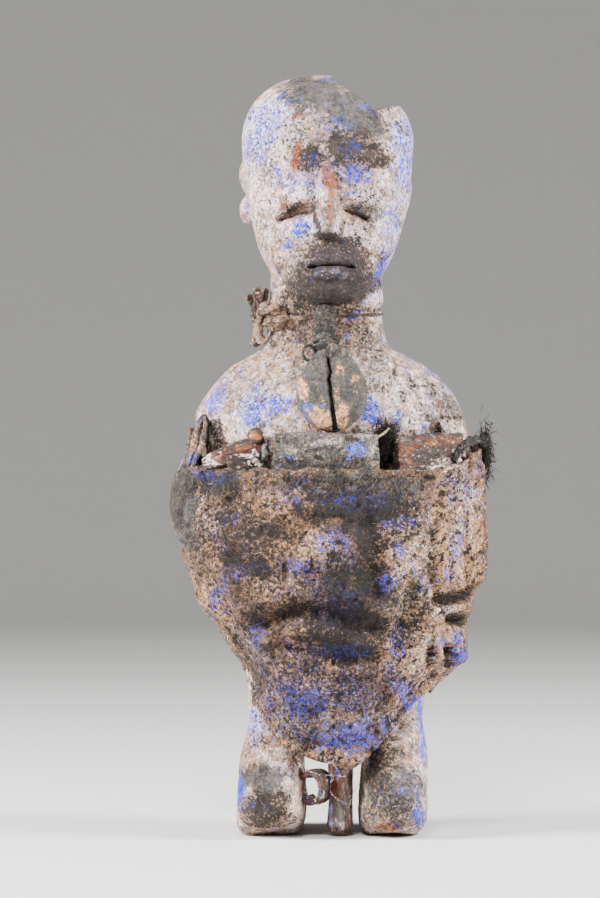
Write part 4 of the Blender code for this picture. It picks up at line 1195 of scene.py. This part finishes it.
def finish_cowrie():
    """The shell, its slit to the front. Returns the place that it hangs from, in metres."""
    c, s = math.cos(SHELL_LEAN), math.sin(SHELL_LEAN)
    chest = HEIGHT * (trunk_at(0.584)[2, 0] - 0.004)
    middle = np.array((HEIGHT * 0.0026, -chest - SHELL_DEPTH / 2, HEIGHT * 0.584))

    def place(v):
        vz, face = v[:, 2], v[:, 1] < 0
        taper = 1 - 0.34 * np.maximum(0, vz) ** 1.35
        low = 1 + 0.05 * np.sin(math.pi * np.clip(-vz, 0, 1)) - 0.06 * ramp(-0.5, -1.0, vz)
        x = v[:, 0] * SHELL_WIDTH / 2 * taper * low
        y = SHELL_DEPTH / 2 * np.where(face, -np.abs(v[:, 1]) ** 0.72, v[:, 1])
        z = vz * SHELL_LENGTH / 2
        # the slit between the two lips, wider at its foot, and the lips' rolled edges
        line = np.interp(vz, (-0.97, -0.45, 0.0, 0.12, 0.27, 0.55), (9e-4, 2e-4, -5e-4, -8e-4, -3e-4, -8e-4))
        away = x - line - 0.0002 * noise(v, 0.25, 6)
        wide = np.interp(vz, (-0.98, -0.8, -0.4, 0.3, 0.75), (0.00065, 0.0005, 0.00036, 0.00034, 0.0003))
        run = ramp(-1.0, -0.93, vz) * ramp(0.8, 0.66, vz) * face
        y = y + 0.003 * run * np.exp(-((away / wide) ** 4))
        y = y - 0.00035 * run * np.exp(-(((np.abs(away) - 0.0021) / 0.0011) ** 2))
        teeth = np.cos(2 * math.pi * z / 0.00125) * np.exp(-(((np.abs(away) - 0.0011) / 0.0006) ** 2))
        y = y - 0.0001 * run * teeth
        return np.stack([x, c * y + s * z, c * z - s * y], 1) + middle + AXIS

    shell = sphere("cowrie", 190, 120, place)
    co = positions(shell)
    ash = ramp(-0.1, 0.05, fractal(co, 0.006, 100, 4, 0.6) + 0.25)
    pits = ramp(0.45, 0.7, noise(co, 0.0013, 102))
    push_out(shell, 0.00012 * ash + 0.00005 * fractal(co, 0.0012, 101, 3, 0.7) - 0.0001 * pits)
    x, _, z = share_places(positions(shell))
    from_slit = x - np.interp(z, (0.528, 0.584, 0.616), (0.0068, 0.0, -0.0014))
    slit = np.exp(-((from_slit / 0.0034) ** 4)) * ramp(0.51, 0.53, z) * ramp(0.64, 0.62, z)
    rim = ramp(0.055, 0.07, np.hypot(x - 0.003, (z - 0.585) * 0.72))
    coat(
        shell,
        bare=(
            (-36, 588, 7, 16, 10, 1), (14, 612, 8, 8, 0, 0.7),
            (34, 600, 6, 6, 0, 1), (-16, 547, 18, 12, -28, 1),
            (16, 548, 8, 18, 0, 0.9), (-6, 540, 12, 8, 0, 0.8),
            (10, 575, 4, 10, 0, 0.5), (12, 636, 8, 6, 0, 0.6),
        ),
        blue=(
            (-30, 560, 12, 8, -30, 0.9), (-12, 563, 12, 4, -10, 0.8),
            (-30, 545, 6, 14, 30, 0.6),
        ),
    )
    # painted shade in the slit, and the shell darker round its rim
    paint(shell, "grime", np.maximum(0.9 * slit, 0.6 * rim))
    stand(shell, "crusted_shell", "cowrie")
    return middle + np.array((-0.05 * SHELL_WIDTH, s * 0.42 * SHELL_LENGTH, c * 0.42 * SHELL_LENGTH))


def finish_stem(shell_top):
    """The bound stem from the neck cord to the shell, with its loose loops."""
    top, low = np.array((-0.004, -0.0835, 0.69)), shell_top / HEIGHT
    upper = top + 0.35 * (low - top) + np.array((-0.003, 0.001, 0))
    lower = top + 0.75 * (low - top) + np.array((-0.002, 0.002, 0))
    route = curved([top, upper, lower, low], 60)
    steps = np.linspace(0, 1, 60)
    width = lambda t: 0.0021 + 0.0007 * ramp(0.15, 0.6, t) + 0.0002 * np.sin(9 * t)

    def relief(angle, t):
        p = np.stack([np.cos(angle) * 0.003, np.sin(angle) * 0.003, t * 0.011], 1)
        turns = np.abs(np.sin(math.pi * (t * 9.5 + angle / (2 * math.pi))))
        bands = np.exp(-(((t - 0.3) / 0.035) ** 2)) + np.exp(-(((t - 0.66) / 0.04) ** 2))
        return 0.00028 * turns + 0.00042 * bands + 0.00035 * fractal(p, 0.0022, 110, 4, 0.7)

    stem = rod_along("pendant_stem", route, width, 90, relief, 150)
    # ragged flap over the shell's top, and the ring of cord at its side
    flap = lump("flap", (0.005, -0.121, 0.63), (0.012, 0.0065, 0.0125), (0, 0, 0), 70, 46)
    roughen(flap, 0.0005, 0.003, 0.00025, 0.001, 112)
    s = np.linspace(0, 2 * math.pi, 40)
    ring = np.stack([0.0078 * np.cos(s), -0.01 * np.sin(0.5 * s), 0.01 * np.sin(s)], 1)
    loops, radii = [(ring + np.array((-0.0265, -0.104, 0.63))) * HEIGHT + AXIS], [0.00038]
    chance = np.random.default_rng(11)
    for _ in range(46):
        t = chance.uniform(0, 1)
        start = np.array([np.interp(t, steps, route[:, k]) for k in range(3)])
        a = chance.uniform(0, 2 * math.pi)
        around = np.linspace(a, a + chance.uniform(1.0, 3.6), 12)
        w = float(width(np.array([t]))[0]) + chance.uniform(0.0001, 0.0006)
        rise = np.linspace(0, chance.normal(0, 0.0014), 12)
        loops.append(start + np.stack([w * np.cos(around), w * np.sin(around), rise], 1))
        radii.append(chance.uniform(0.00007, 0.00016))
    wound = fibres("stem_fibres", loops, radii, 1)
    coat(wound, grime=((0.6, 0.0, 0.4, 0.004, 113),))
    join(stem, [flap])
    coat(stem, bare=((0.9, 0.25, 0.5, 0.004, 114),), grime=((1.0, 0.1, 0.5, 0.003, 115),))
    stand(stem, "ash_grey_fibre", "pendant_stem")
    stand(wound, "ash_grey_fibre")


KNOT_DEGREES = -150


def finish_neck_cord():
    """The cord round the neck, thin and dark but for its knot and the clay near it."""
    def place(u, v):
        angle = 2 * math.pi * u - math.pi
        radius = 0.00046 + 0.00022 * np.exp(-(((np.degrees(angle) - KNOT_DEGREES) / 22) ** 2))
        level = 0.681 + 0.004 * np.cos(angle - 0.6)
        reach = trunk_at(level) + (radius + 0.0001) / HEIGHT - 0.003
        x, y = outline(angle, *reach, TRUNK_SQUARE)
        turn = 2 * math.pi * v
        uneven = 0.15 * noise(np.stack([x, y, level], 1), 0.02, 120)
        twist = 1 + 0.16 * np.abs(np.sin(turn + 60 * angle)) + uneven
        out = HEIGHT + radius * twist * np.cos(turn) / np.hypot(x, y)
        return np.stack([x * out, y * out, level * HEIGHT + radius * twist * np.sin(turn)], 1) + AXIS

    cord = grid("neck_cord", 420, 12, place)
    ring = positions(cord)
    dark = 0.9 * ramp(14, 34, np.abs(np.degrees(np.arctan2(ring[:, 1], ring[:, 0])) - KNOT_DEGREES))
    knot = lump("knot", (-0.073, -0.042, 0.68), (0.0205, 0.019, 0.0165), (10, 20, 0), 90, 60)
    loops = [
        lump("loop_a", (-0.083, -0.046, 0.69), (0.0095, 0.01, 0.008), (0, 30, 0), 48, 32),
        lump("loop_b", (-0.062, -0.058, 0.676), (0.011, 0.008, 0.0065), (0, -20, 20), 48, 32),
        lump("loop_c", (-0.07, -0.055, 0.691), (0.01, 0.008, 0.006), (0, 10, 10), 48, 32),
    ]
    for loop in loops:
        roughen(loop, 0.0005, 0.003, 0.0002, 0.001, 126)
    co = positions(knot)
    x, _, z = share_places(co)
    fold = np.exp(-((near_line(x, z, ((-0.092, 0.676), (-0.078, 0.682), (-0.06, 0.679))) / 0.0035) ** 2))
    grit = 0.0003 * fractal(co, 0.0013, 122, 3, 0.7)
    push_out(knot, 0.0008 * fractal(co, 0.0038, 121, 3) + grit - 0.0013 * fold)
    way = (
        (-0.088, -0.04, 0.68), (-0.0935, -0.038, 0.668), (-0.0925, -0.04, 0.655),
        (-0.086, -0.044, 0.6475), (-0.08, -0.046, 0.65),
    )
    tail = rod_along(
        "knot_tail", curved(way, 40), lambda t: 0.00125 - 0.00045 * ramp(0.6, 1, t), 40,
        lambda a, t: 0.00022 * wall_noise(a, t, 0.002, 0.01, 0.0018, 123), 70,
    )
    join(cord, [knot, tail, *loops])
    p = positions(cord)
    clouds = 0.7 * ramp(0.1, 0.5, noise(p, 0.004, 124))
    paint(cord, "grime", np.maximum(np.append(dark, np.zeros(len(p) - len(dark))), clouds))
    stand(cord, "neck_cord", "neck_cord")


def shred(name, middle, sizes, turn, seed, thick):
    """A crumpled, torn scrap: a small sheet, bent and given its thickness."""
    def place(u, v):
        edge = np.stack([u * 0.01, v * 0.01, 0 * u], 1)
        ragged = 1 + 0.3 * fractal(edge, 0.0022, seed, 3) * np.abs(2 * v - 1)
        x = (u - 0.5) * sizes[0] * ragged * HEIGHT
        z = (v - 0.5) * sizes[1] * (1 + 0.16 * fractal(edge[:, [1, 0, 2]], 0.0016, seed + 1, 3)) * HEIGHT
        bend = 0.35 * sizes[0] * HEIGHT * np.sin(2.4 * math.pi * (u - 0.2) + 3 * v + seed)
        y = bend + 0.001 * fractal(edge, 0.0035, seed + 2, 3)
        return turned(np.stack([x, y, z], 1), turn) + np.array(middle) * HEIGHT + AXIS

    obj = grid(name, 34, 60, place, closed=False)
    apply(obj, "SOLIDIFY", thickness=thick, offset=0)
    return obj


def finish_tatter():
    main = shred("neck_tatter", (-0.0925, -0.01, 0.695), (0.018, 0.046), (0, 10, 20), 130, 0.0007)
    join(main, [
        shred("scrap_b", (-0.0975, -0.004, 0.692), (0.013, 0.036), (0, -18, -30), 134, 0.0006),
        shred("scrap_c", (-0.09, -0.018, 0.696), (0.012, 0.038), (8, 4, 50), 138, 0.0006),
        shred("scrap_d", (-0.095, -0.012, 0.656), (0.01, 0.028), (0, 8, 20), 142, 0.0007),
    ])
    p = positions(main)
    low = ramp(0.68, 0.66, share_places(p)[2])
    paint(main, "white", 0.8 * ramp(0.1, 0.5, noise(p, 0.003, 146)) + 0.6 * low)
    stand(main, "dark_hide", "neck_tatter")


# Pieces tucked into the pouch, from the picture's left

def groove(angle, width):
    """A groove along a tube: 1 where the angle is 0, and width is its half width."""
    return np.exp(-((np.sin(angle / 2) / width) ** 2))


def finish_bark_roll():
    way = ((-0.164, -0.115, 0.488), (-0.143, -0.115, 0.493), (-0.113, -0.114, 0.501), (-0.083, -0.111, 0.508))
    # its split lies open along the front
    roll = rod_along(
        "bark_roll", curved(way, 60),
        lambda t: np.interp(t, (0, 0.12, 0.35, 0.7, 1), (0.001, 0.0018, 0.0026, 0.0033, 0.0034)), 84,
        lambda a, t: (
            0.00014 * wall_noise(a, t, 0.004, 0.003, 0.002, 150)
            - 0.001 * groove(a - 1.05 - 0.25 * t, 0.1) - 0.0004 * groove(a + 0.35 + 0.3 * t, 0.06)
        ) * (1 - ramp(0.96, 1, np.abs(2 * t - 1)) * 0.4), 90,
    )
    coat(
        roll,
        white=((-164, 490, 12, 12, 0, 0.75), (-150, 486, 20, 3, 8, 0.8)),
        grime=(
            (0.8, 0.3, 0.6, 0.004, 151),
            (-110, 497, 30, 2.2, 12, 1), (-120, 514, 30, 3, 14, 0.8),
        ),
        bare=((0.5, 0.2, 0.5, 0.003, 152),),
    )
    stand(roll, "red_brown_bark", "bark_roll")


def finish_bark_strip():
    strip = block("bark_strip", (-0.104, -0.131, 0.4895), (0.056, 0.0062, 0.0225), (0, -8, 8), 5, 0.0004)
    roughen(strip, 0.00035, 0.0035, 0.00016, 0.001, 155, (0.4, 1, 1))
    coat(
        strip,
        white=(
            (-112, 497.5, 16, 2.2, -6, 1), (-88, 492, 4, 8, 0, 0.8),
            (0.25, 0.2, 0.5, 0.003, 156),
        ),
        bare=((-108, 484, 10, 4, 0, 0.35),),
    )
    paint(strip, "grime", 0.35 + 0.5 * ramp(0.0, 0.6, noise(positions(strip), 0.004, 157)))
    stand(strip, "red_brown_bark", "bark_strip")


def finish_crumbs():
    """White crumbs of clay on the bark strip."""
    crumbs = []
    for i, (x, z, r) in enumerate((
        (-0.1005, 0.4965, 0.0042), (-0.095, 0.489, 0.0034), (-0.0925, 0.498, 0.003), (-0.104, 0.489, 0.003),
        (-0.0885, 0.485, 0.0028), (-0.096, 0.502, 0.0026), (-0.107, 0.495, 0.0024),
    )):
        crumb = lump(f"crumb{i}", (x, -0.1335, z), (r, 0.8 * r, 0.8 * r), (20 * i, 40 * i, 30), 36, 24)
        roughen(crumb, 0.0005, 0.0012, 0.00026, 0.0006, 160 + i)
        crumbs.append(crumb)
    crumbs = join(crumbs[0], crumbs[1:])
    crumbs.name = "clay_crumbs"
    paint(crumbs, "white", 0.6 + 0.5 * noise(positions(crumbs), 0.002, 168))
    stand(crumbs, "pale_chip")


def finish_stub():
    """A broken branch end, its orange wood facing the front."""
    way = ((-0.0945, -0.093, 0.513), (-0.095, -0.113, 0.52), (-0.0955, -0.133, 0.5265))
    stub = rod_along(
        "stick_stub", curved(way, 30), lambda t: 0.0021 - 0.0002 * t, 60,
        lambda a, t: (
            0.00026 * wall_noise(a, t, 0.004, 0.004, 0.0022, 165)
            + 0.0007 * np.maximum(0, np.sin(a)) * ramp(0.6, 0.9, t) - 0.0007 * ramp(0.92, 1.0, t)
        ), 60,
    )
    p = positions(stub)
    x, y, z = share_places(p)
    end = ramp(0.0095, 0.005, np.hypot(x + 0.095, 1.3 * (z - 0.5235))) * ramp(-0.116, -0.122, y)
    paint(stub, "bare", 2.0 * end)
    paint(stub, "grime", 0.9 * (1 - end) * ramp(-0.4, 0.4, noise(p, 0.004, 166)))
    paint(stub, "ash", 0.8 * (1 - end) * ramp(0.0, 0.4, noise(p, 0.003, 167)))
    stand(stub, "red_brown_bark", "stick_stub")


def finish_seed():
    nut = lump("seed", (-0.0835, -0.13, 0.502), (0.0062, 0.007, 0.014), (0, 6, 0), 64, 44)
    roughen(nut, 0.0004, 0.004, 0.00008, 0.001, 170)
    coat(nut, white=((-83.5, 498, 2.8, 8, 0, 1.2),))
    stand(nut, "dark_seed", "seed")


def finish_packet():
    """A strip of cloth folded over into three leaves, its crest at the top."""
    width, tall, leaf = 0.0275, 0.015, 0.0019
    legs = (
        # the folded strip's path, back leaf up, front leaf down, short middle leaf up: y, z
        (2.0, -0.9), (2.0, 0.0), (1.9, 0.75), (1.4, 0.98), (0.4, 1.02), (-0.9, 1.0), (-1.5, 0.9), (-1.75, 0.65),
        (-1.9, 0.0), (-1.7, -0.6), (-1.2, -0.92), (-0.3, -0.95), (0.15, -0.7), (0.25, 0.0), (0.2, 0.55),
    )
    path = through([(k, a, b) for k, (a, b) in zip(np.linspace(0, 1, len(legs)), legs)])

    def place(u, v):
        a, b = path(v)
        slant = ramp(0.1, -0.02, u) * 0.1 * (b > 0) + 0.06 * (u - 0.5) * (b > 0)
        p = np.stack([u * 0.03, v * 0.02, 0 * u], 1)
        side = 1 - 0.05 * ramp(0.2, 1.0, b) + 0.012 * fractal(p, 0.004, 182, 3)
        x = (u - 0.5) * width * side
        y = a * leaf / 2 * 1.25 + 0.00045 * fractal(p * [0.5, 1, 1], 0.005, 181, 4)
        z = b * tall / 2 * (1 - slant) + 0.00035 * fractal(p, 0.009, 180, 3)
        return turned(np.stack([x, y, z], 1), (3, 1, 0)) + np.array((-0.0045, -0.135, 0.485)) * HEIGHT + AXIS

    packet = grid("cloth_packet", 150, 230, place, closed=False)
    co = positions(packet)
    creases = 0.0006 * np.abs(fractal(co * np.array((0.3, 1, 1.3)), 0.005, 183, 4))
    push_out(packet, 0.00016 * fractal(co, 0.0013, 184, 3, 0.7) - creases)
    apply(packet, "SOLIDIFY", thickness=0.001, offset=0)
    coat(
        packet,
        blue=(
            (34, 506, 12, 10, 0, 1.3), (28, 495, 8, 8, 0, 0.8),
            (-50, 494, 8, 6, 0, 0.5),
        ),
        white=(
            (0, 515, 50, 6, 8, 0.8), (-45, 500, 20, 8, 0, 0.6),
            (58, 500, 6, 20, 0, 0.9), (0.4, 0.2, 0.5, 0.006, 185),
        ),
        grime=(
            (-45, 486, 24, 8, 0, 1), (30, 518, 14, 5, -15, 1.1),
            (0, 480, 60, 6, 0, 0.7), (-20, 505, 30, 3, 12, 0.8),
            (10, 492, 40, 3, -6, 0.7), (0.5, 0.2, 0.6, 0.004, 186),
        ),
    )
    stand(packet, "ash_grey_cloth", "cloth_packet")


def hairs(name, root, spread, lean, count, length, seed, radius=(0.00006, 0.00013), curl=0.25):
    """A tuft of hairs that spring from round one place. Places in shares."""
    chance = np.random.default_rng(seed)
    lines, radii = [], []
    for _ in range(count):
        start = np.array(root) + chance.normal(0, 1, 3) * np.array(spread)
        way = np.array(lean) + chance.normal(0, 0.45, 3)
        way /= np.linalg.norm(way)
        far = length * chance.uniform(0.4, 1.0)
        s = np.linspace(0, 1, 7)
        sway = chance.normal(0, curl, 3) * far
        line = start + np.outer(s, way) * far + np.outer(s * s, sway)
        lines.append(line * HEIGHT + AXIS)
        radii.append(chance.uniform(*radius) * (1 - 0.6 * s))
    return fibres(name, lines, radii)


def finish_tufts():
    for name, middle, radii, turn, seed, low, tuft in (
        (
            "hair_tuft", (0.072, -0.124, 0.514), (0.0115, 0.011, 0.0235), (0, 22, 0), 190, 0.2,
            ((0.071, -0.126, 0.518), (0.006, 0.005, 0.009), (0.15, -0.25, 0.9), 620, 0.016, 191),
        ),
        (
            "side_tuft", (0.204, -0.015, 0.498), (0.008, 0.017, 0.03), (0, 10, 0), 195, 0.3,
            ((0.205, -0.017, 0.502), (0.004, 0.011, 0.017), (0.02, -0.2, -0.9), 760, 0.013, 196),
        ),
    ):
        core = lump(name, middle, radii, turn, 72, 48)
        roughen(core, 0.0006, 0.003, 0.00035, 0.001, seed, (1, 1, 0.5))
        join(core, [hairs("strands", *tuft, curl=0.25 if name == "hair_tuft" else 0.35)])
        coat(core, white=((0.3, low, 0.6, 0.003, seed + 2),))
        stand(core, "black_hair", name)


def finish_twig():
    way = ((0.052, -0.146, 0.514), (0.062, -0.145, 0.5215), (0.07, -0.144, 0.5265), (0.077, -0.1435, 0.533))
    twig = rod_along(
        "twig", curved(way, 40), lambda t: 0.00034 - 0.00008 * t, 18,
        lambda a, t: 0.00006 * noise(np.stack([np.cos(a), np.sin(a), 14 * t], 1), 0.9, 198), 60,
    )
    stand(twig, "pale_twig", "twig")


def finish_bark_block():
    slab = block("bark_block", (0.127, -0.104, 0.488), (0.098, 0.0205, 0.0705), (0, -3, 28), 9, 0.0006)
    co = positions(slab)
    x, _, z = share_places(co)
    push_out(slab, (
        0.00022 * fractal(co * np.array((0.3, 0.3, 1)), 0.0016, 200, 3) + 0.0004 * fractal(co, 0.005, 201, 3)
        + 0.00035 * ramp(0.505, 0.509, z + 0.12 * (x - 0.127)) - 0.0003 * ramp(0.3, 0.6, noise(co, 0.0022, 202))
    ))
    coat(
        slab,
        white=((155, 484, 26, 9, 20, 0.8), (167, 494, 8, 12, 0, 0.7)),
        ash=(
            (132, 503, 24, 8, 8, 0.9), (98, 520, 16, 6, -20, 0.9),
            (112, 488, 20, 6, 0, 0.5),
        ),
        bare=(
            (104, 500, 14, 14, 0, 0.45), (150, 516, 30, 5, 6, 0.55),
            (106, 496, 6, 10, 0, 0.8),
        ),
        blue=((114, 478, 16, 3, 0, 0.7),),
    )
    p = positions(slab)
    dark = ((83, 490, 6, 40, 0, 1.2), (125, 496, 30, 6, 5, 0.8), (125, 527, 60, 3.5, 4, 0.9))
    paint(slab, "grime", np.maximum(marks(p, dark), 0.25 + 0.6 * ramp(0.0, 0.6, noise(p, 0.005, 203))))
    stand(slab, "red_brown_bark", "bark_block")


def finish_chips():
    for name, middle, sizes, turn, seed, chalk in (
        ("chip_low", (0.11, -0.104, 0.526), (0.048, 0.016, 0.036), (0, 12, 20), 205, 0.1),
        ("chip_white", (0.159, -0.085, 0.533), (0.03, 0.014, 0.036), (0, 2, 30), 215, 0.65),
    ):
        chip = block(name, middle, sizes, turn, 8, 0.0013)
        roughen(chip, 0.0008, 0.0036, 0.00026, 0.0012, seed)
        paint(chip, "white", chalk + 0.5 * noise(positions(chip), 0.004, seed + 2))
        coat(
            chip,
            grime=(
                # painted shadow: (139.5, 530) in the gap between the two chips
                (139.5, 530, 7, 14, 0, 1.2), (98, 520, 4, 4, 0, 1.2),
                (168, 524, 6, 4, 0, 0.8), (160, 548, 18, 3, 0, 1.1),
                (0.5, 0.2, 0.6, 0.003, seed + 3),
            ),
            blue=(
                (130, 530, 10, 10, 0, 1), (168, 534, 4, 4, 0, 1),
                (92, 530, 10, 6, 0, 0.6),
            ),
        )
        stand(chip, "pale_chip", name)


def finish_rag():
    way = (
        (0.16, -0.1, 0.49), (0.172, -0.093, 0.508), (0.186, -0.076, 0.5175),
        (0.198, -0.056, 0.5185), (0.204, -0.04, 0.513),
    )
    rag = rod_along(
        "rag_tie", curved(way, 80), lambda t: 0.0008 + 0.0002 * np.sin(5 * t), 60,
        lambda a, t: (
            0.0004 * np.abs(np.sin(1.5 * a + 16 * t)) - 0.0002
            + 0.0003 * wall_noise(a, t, 0.003, 0.016, 0.002, 220)
        ), 150,
    )
    ends = (0.199, -0.056, 0.52), (0.005, 0.006, 0.004), (0.3, -0.5, -0.3)
    join(rag, [hairs("rag_ends", *ends, 30, 0.012, 221, (0.00007, 0.00016), 0.5)])
    stand(rag, "dark_rag", "rag_tie")


def finish_strap():
    """The cloth's torn corner, drawn up over the arm at the figure's right."""
    def strap(name, places, half, seed):
        return rod_along(
            name, curved(places, 60), lambda t: half * (0.75 + 0.35 * np.sin(math.pi * t)), 40,
            lambda a, t: half * (
                -0.42 * np.abs(np.cos(a + 0.6)) + 0.3 * wall_noise(a, t, 0.003, 0.02, 0.0024, seed)
            ), 110,
        )

    outer = strap("strap", (
        (-0.162, -0.038, 0.556), (-0.171, -0.062, 0.532), (-0.1765, -0.076, 0.509), (-0.183, -0.086, 0.484),
    ), 0.0012, 230)
    inner = strap("strap_inner", (
        (-0.162, -0.04, 0.556), (-0.1615, -0.07, 0.536), (-0.164, -0.086, 0.516), (-0.177, -0.09, 0.486),
    ), 0.001, 235)
    join(outer, [inner])
    coat(
        outer, white=((0.35, 0.0, 0.5, 0.005, 240),), ash=((0.8, -0.4, 0.2, 0.006, 243),),
        grime=((0.6, 0.1, 0.5, 0.004, 242),),
    )
    p = positions(outer)
    low = ramp(0.51, 0.492, share_places(p)[2])
    paint(outer, "blue", 0.2 * low + 0.4 * ramp(0.3, 0.5, noise(p, 0.004, 241)))
    stand(outer, "caked_cloth")


# Under the pouch

def finish_curl():
    radius, length = 0.018 * HEIGHT, 0.0375 * HEIGHT

    def place(u, v):
        angle = math.radians(280) * (u - 0.5) + math.pi
        r = radius * (1.0 + 0.1 * (u - 0.5)) + 0.00016 * noise(np.stack([3 * u, 3 * v, 0 * u], 1), 0.9, 250)
        q = np.stack([(v - 0.5) * length, r * np.cos(angle), 1.28 * r * np.sin(angle)], 1)
        return turned(q, (0, 0, 68)) + np.array((-0.0185, -0.064, 0.066)) * HEIGHT + AXIS

    curl = grid("bark_curl", 120, 40, place, closed=False)
    apply(curl, "SOLIDIFY", thickness=0.0014, offset=-1)
    apply(curl, "SUBSURF", subdivision_type="SIMPLE", levels=1, render_levels=1)
    roughen(curl, 0.00014, 0.003, 0.0001, 0.001, 251)
    tongue = block("bark_tongue", (-0.04, -0.07, 0.078), (0.013, 0.006, 0.056), (0, -14, 0), 5, 0.0003)
    roughen(tongue, 0.0004, 0.004, 0.00015, 0.001, 252)
    join(curl, [tongue])
    coat(
        curl,
        white=(
            (-18, 50, 12, 6, 0, 0.6), (-34, 92, 6, 5, 0, 0.8),
            (0.25, 0.1, 0.5, 0.003, 253),
        ),
        ash=((0.35, 0.0, 0.4, 0.005, 254),), blue=((0.6, 0.35, 0.6, 0.003, 255),),
        grime=((0.5, 0.2, 0.5, 0.003, 256),),
    )
    stand(curl, "red_brown_bark", "bark_curl")


def finish_peg():
    way = ((0.0135, -0.056, 0.003), (0.014, -0.056, 0.03), (0.015, -0.056, 0.06), (0.0145, -0.056, 0.094))
    peg = rod_along(
        "peg", curved(way, 60),
        lambda t: np.interp(t, (0, 0.05, 0.15, 0.5, 1.0), (0.0023, 0.0029, 0.0034, 0.0031, 0.0032)), 96,
        lambda a, t: (
            0.00024 * wall_noise(a, t, 0.004, 0.004, 0.0024, 260)
            - 0.0009 * groove(a - 1.25, 0.11) * ramp(0.22, 0.0, t)
            - 0.00035 * groove(a - 0.7 + 0.5 * t, 0.05) * ramp(0.1, 0.4, t)
        ), 130,
    )
    coat(
        peg,
        ash=((14, 25, 22, 30, 0, 0.85), (26, 60, 6, 30, 0, 0.6)),
        white=(
            (6, 12, 6, 6, 0, 0.7), (18, 8, 6, 5, 0, 0.7),
            (8, 88, 4, 4, 0, 0.7),
        ),
        blue=((1.5, 45, 3, 40, 0, 0.9), (10, 75, 6, 10, 0, 0.8)),
        grime=((0.6, 0.2, 0.6, 0.005, 261),),
    )
    stand(peg, "red_brown_wood", "peg")


def finish_threads():
    """Loose threads between the legs: each one's radius and the places that it passes."""
    chance = np.random.default_rng(21)
    threads = (
        (9e-5, (
            (-0.045, -0.105, 0.0985), (-0.03, -0.11, 0.0905), (-0.008, -0.11, 0.085), (0.021, -0.104, 0.0825),
        )),
        (7e-5, (
            (0.004, -0.085, 0.056), (0.025, -0.093, 0.045), (0.06, -0.11, 0.042), (0.09, -0.122, 0.046),
        )),
        (7e-5, (
            (0.006, -0.078, 0.08), (0.001, -0.08, 0.065), (0.008, -0.085, 0.052), (0.024, -0.08, 0.0465),
        )),
        (6e-5, (
            (0.024, -0.076, 0.05), (0.033, -0.08, 0.062), (0.042, -0.088, 0.076),
        )),
        (9e-5, (
            (0.001, -0.09, 0.09), (0.0035, -0.088, 0.078), (0.001, -0.08, 0.07),
        )),
        (6e-5, (
            (0.016, -0.076, 0.01), (0.02, -0.079, 0.03), (0.03, -0.08, 0.05),
        )),
    )
    lines = [curved(way, 16) + 0.00012 * chance.normal(0, 1, (16, 3)) for _, way in threads]
    strands = fibres("stray_threads", lines, [radius for radius, _ in threads], 1)
    paint(strands, "white", 0.7 * np.ones(len(strands.data.vertices)))
    stand(strands, "caked_cloth")


# The studio

FLOOR_FLAT, FLOOR_BEND = 1.1, 1.2


def sweep(u, v):
    """A pale studio floor that curves up all round into a wall, so every side looks alike."""
    way, angle = v * 5.0, -2 * math.pi * u
    bend = np.clip((way - FLOOR_FLAT) / (FLOOR_BEND * math.pi / 2), 0, 1) * math.pi / 2
    reach = np.minimum(way, FLOOR_FLAT) + FLOOR_BEND * np.sin(bend)
    z = FLOOR_BEND * (1 - np.cos(bend)) + np.maximum(0, way - FLOOR_FLAT - FLOOR_BEND * math.pi / 2)
    return np.stack([reach * np.cos(angle), reach * np.sin(angle), z], 1)


floor = grid("floor", 96, 90, sweep, closed=False)
merge_doubles(floor)
floor.data.shade_smooth()
floor.data.materials.append(LOOKS["studio_floor"])
finish_figure()
finish_wrap()
finish_fibres()
finish_strap()
finish_stem(finish_cowrie())
for make in (
    finish_neck_cord, finish_tatter, finish_bark_roll, finish_bark_strip, finish_crumbs, finish_stub,
    finish_seed, finish_packet, finish_tufts, finish_twig, finish_bark_block, finish_chips, finish_rag,
    finish_curl, finish_peg, finish_threads,
):
    make()

scene = bpy.context.scene
camera = bpy.data.objects.new("camera", bpy.data.cameras.new("camera"))
scene.collection.objects.link(camera)
camera.location = (-0.00766 + AXIS[0], -VIEW_AWAY, VIEW_LEVEL * HEIGHT)
camera.rotation_euler = (math.radians(90), 0, 0)
camera.data.sensor_width = 36
camera.data.lens = 36 * VIEW_AWAY / 0.2373
camera.data.clip_start = 0.01
scene.camera = camera
for name, place, size, power, aim in (
    ("left", (-0.62, -0.22, 0.36), 0.24, 24.0, (0, 0, 0.11)),
    ("right", (0.64, -0.14, 0.32), 0.28, 20.0, (0, 0, 0.1)),
    ("front", (-0.12, -0.6, 0.72), 0.26, 10.5, (0, 0, 0.1)),
):
    light = bpy.data.lights.new(name, "AREA")
    light.size, light.energy = size, power
    lamp = bpy.data.objects.new(name, light)
    lamp.location = place
    lamp.rotation_euler = (Vector(aim) - Vector(place)).to_track_quat("-Z", "Y").to_euler()
    scene.collection.objects.link(lamp)
world = bpy.data.worlds.new("studio")
scene.world = world
world.use_nodes = True
world.node_tree.nodes["Background"].inputs["Color"].default_value = (0.9, 0.92, 0.95, 1)
world.node_tree.nodes["Background"].inputs["Strength"].default_value = 0.07
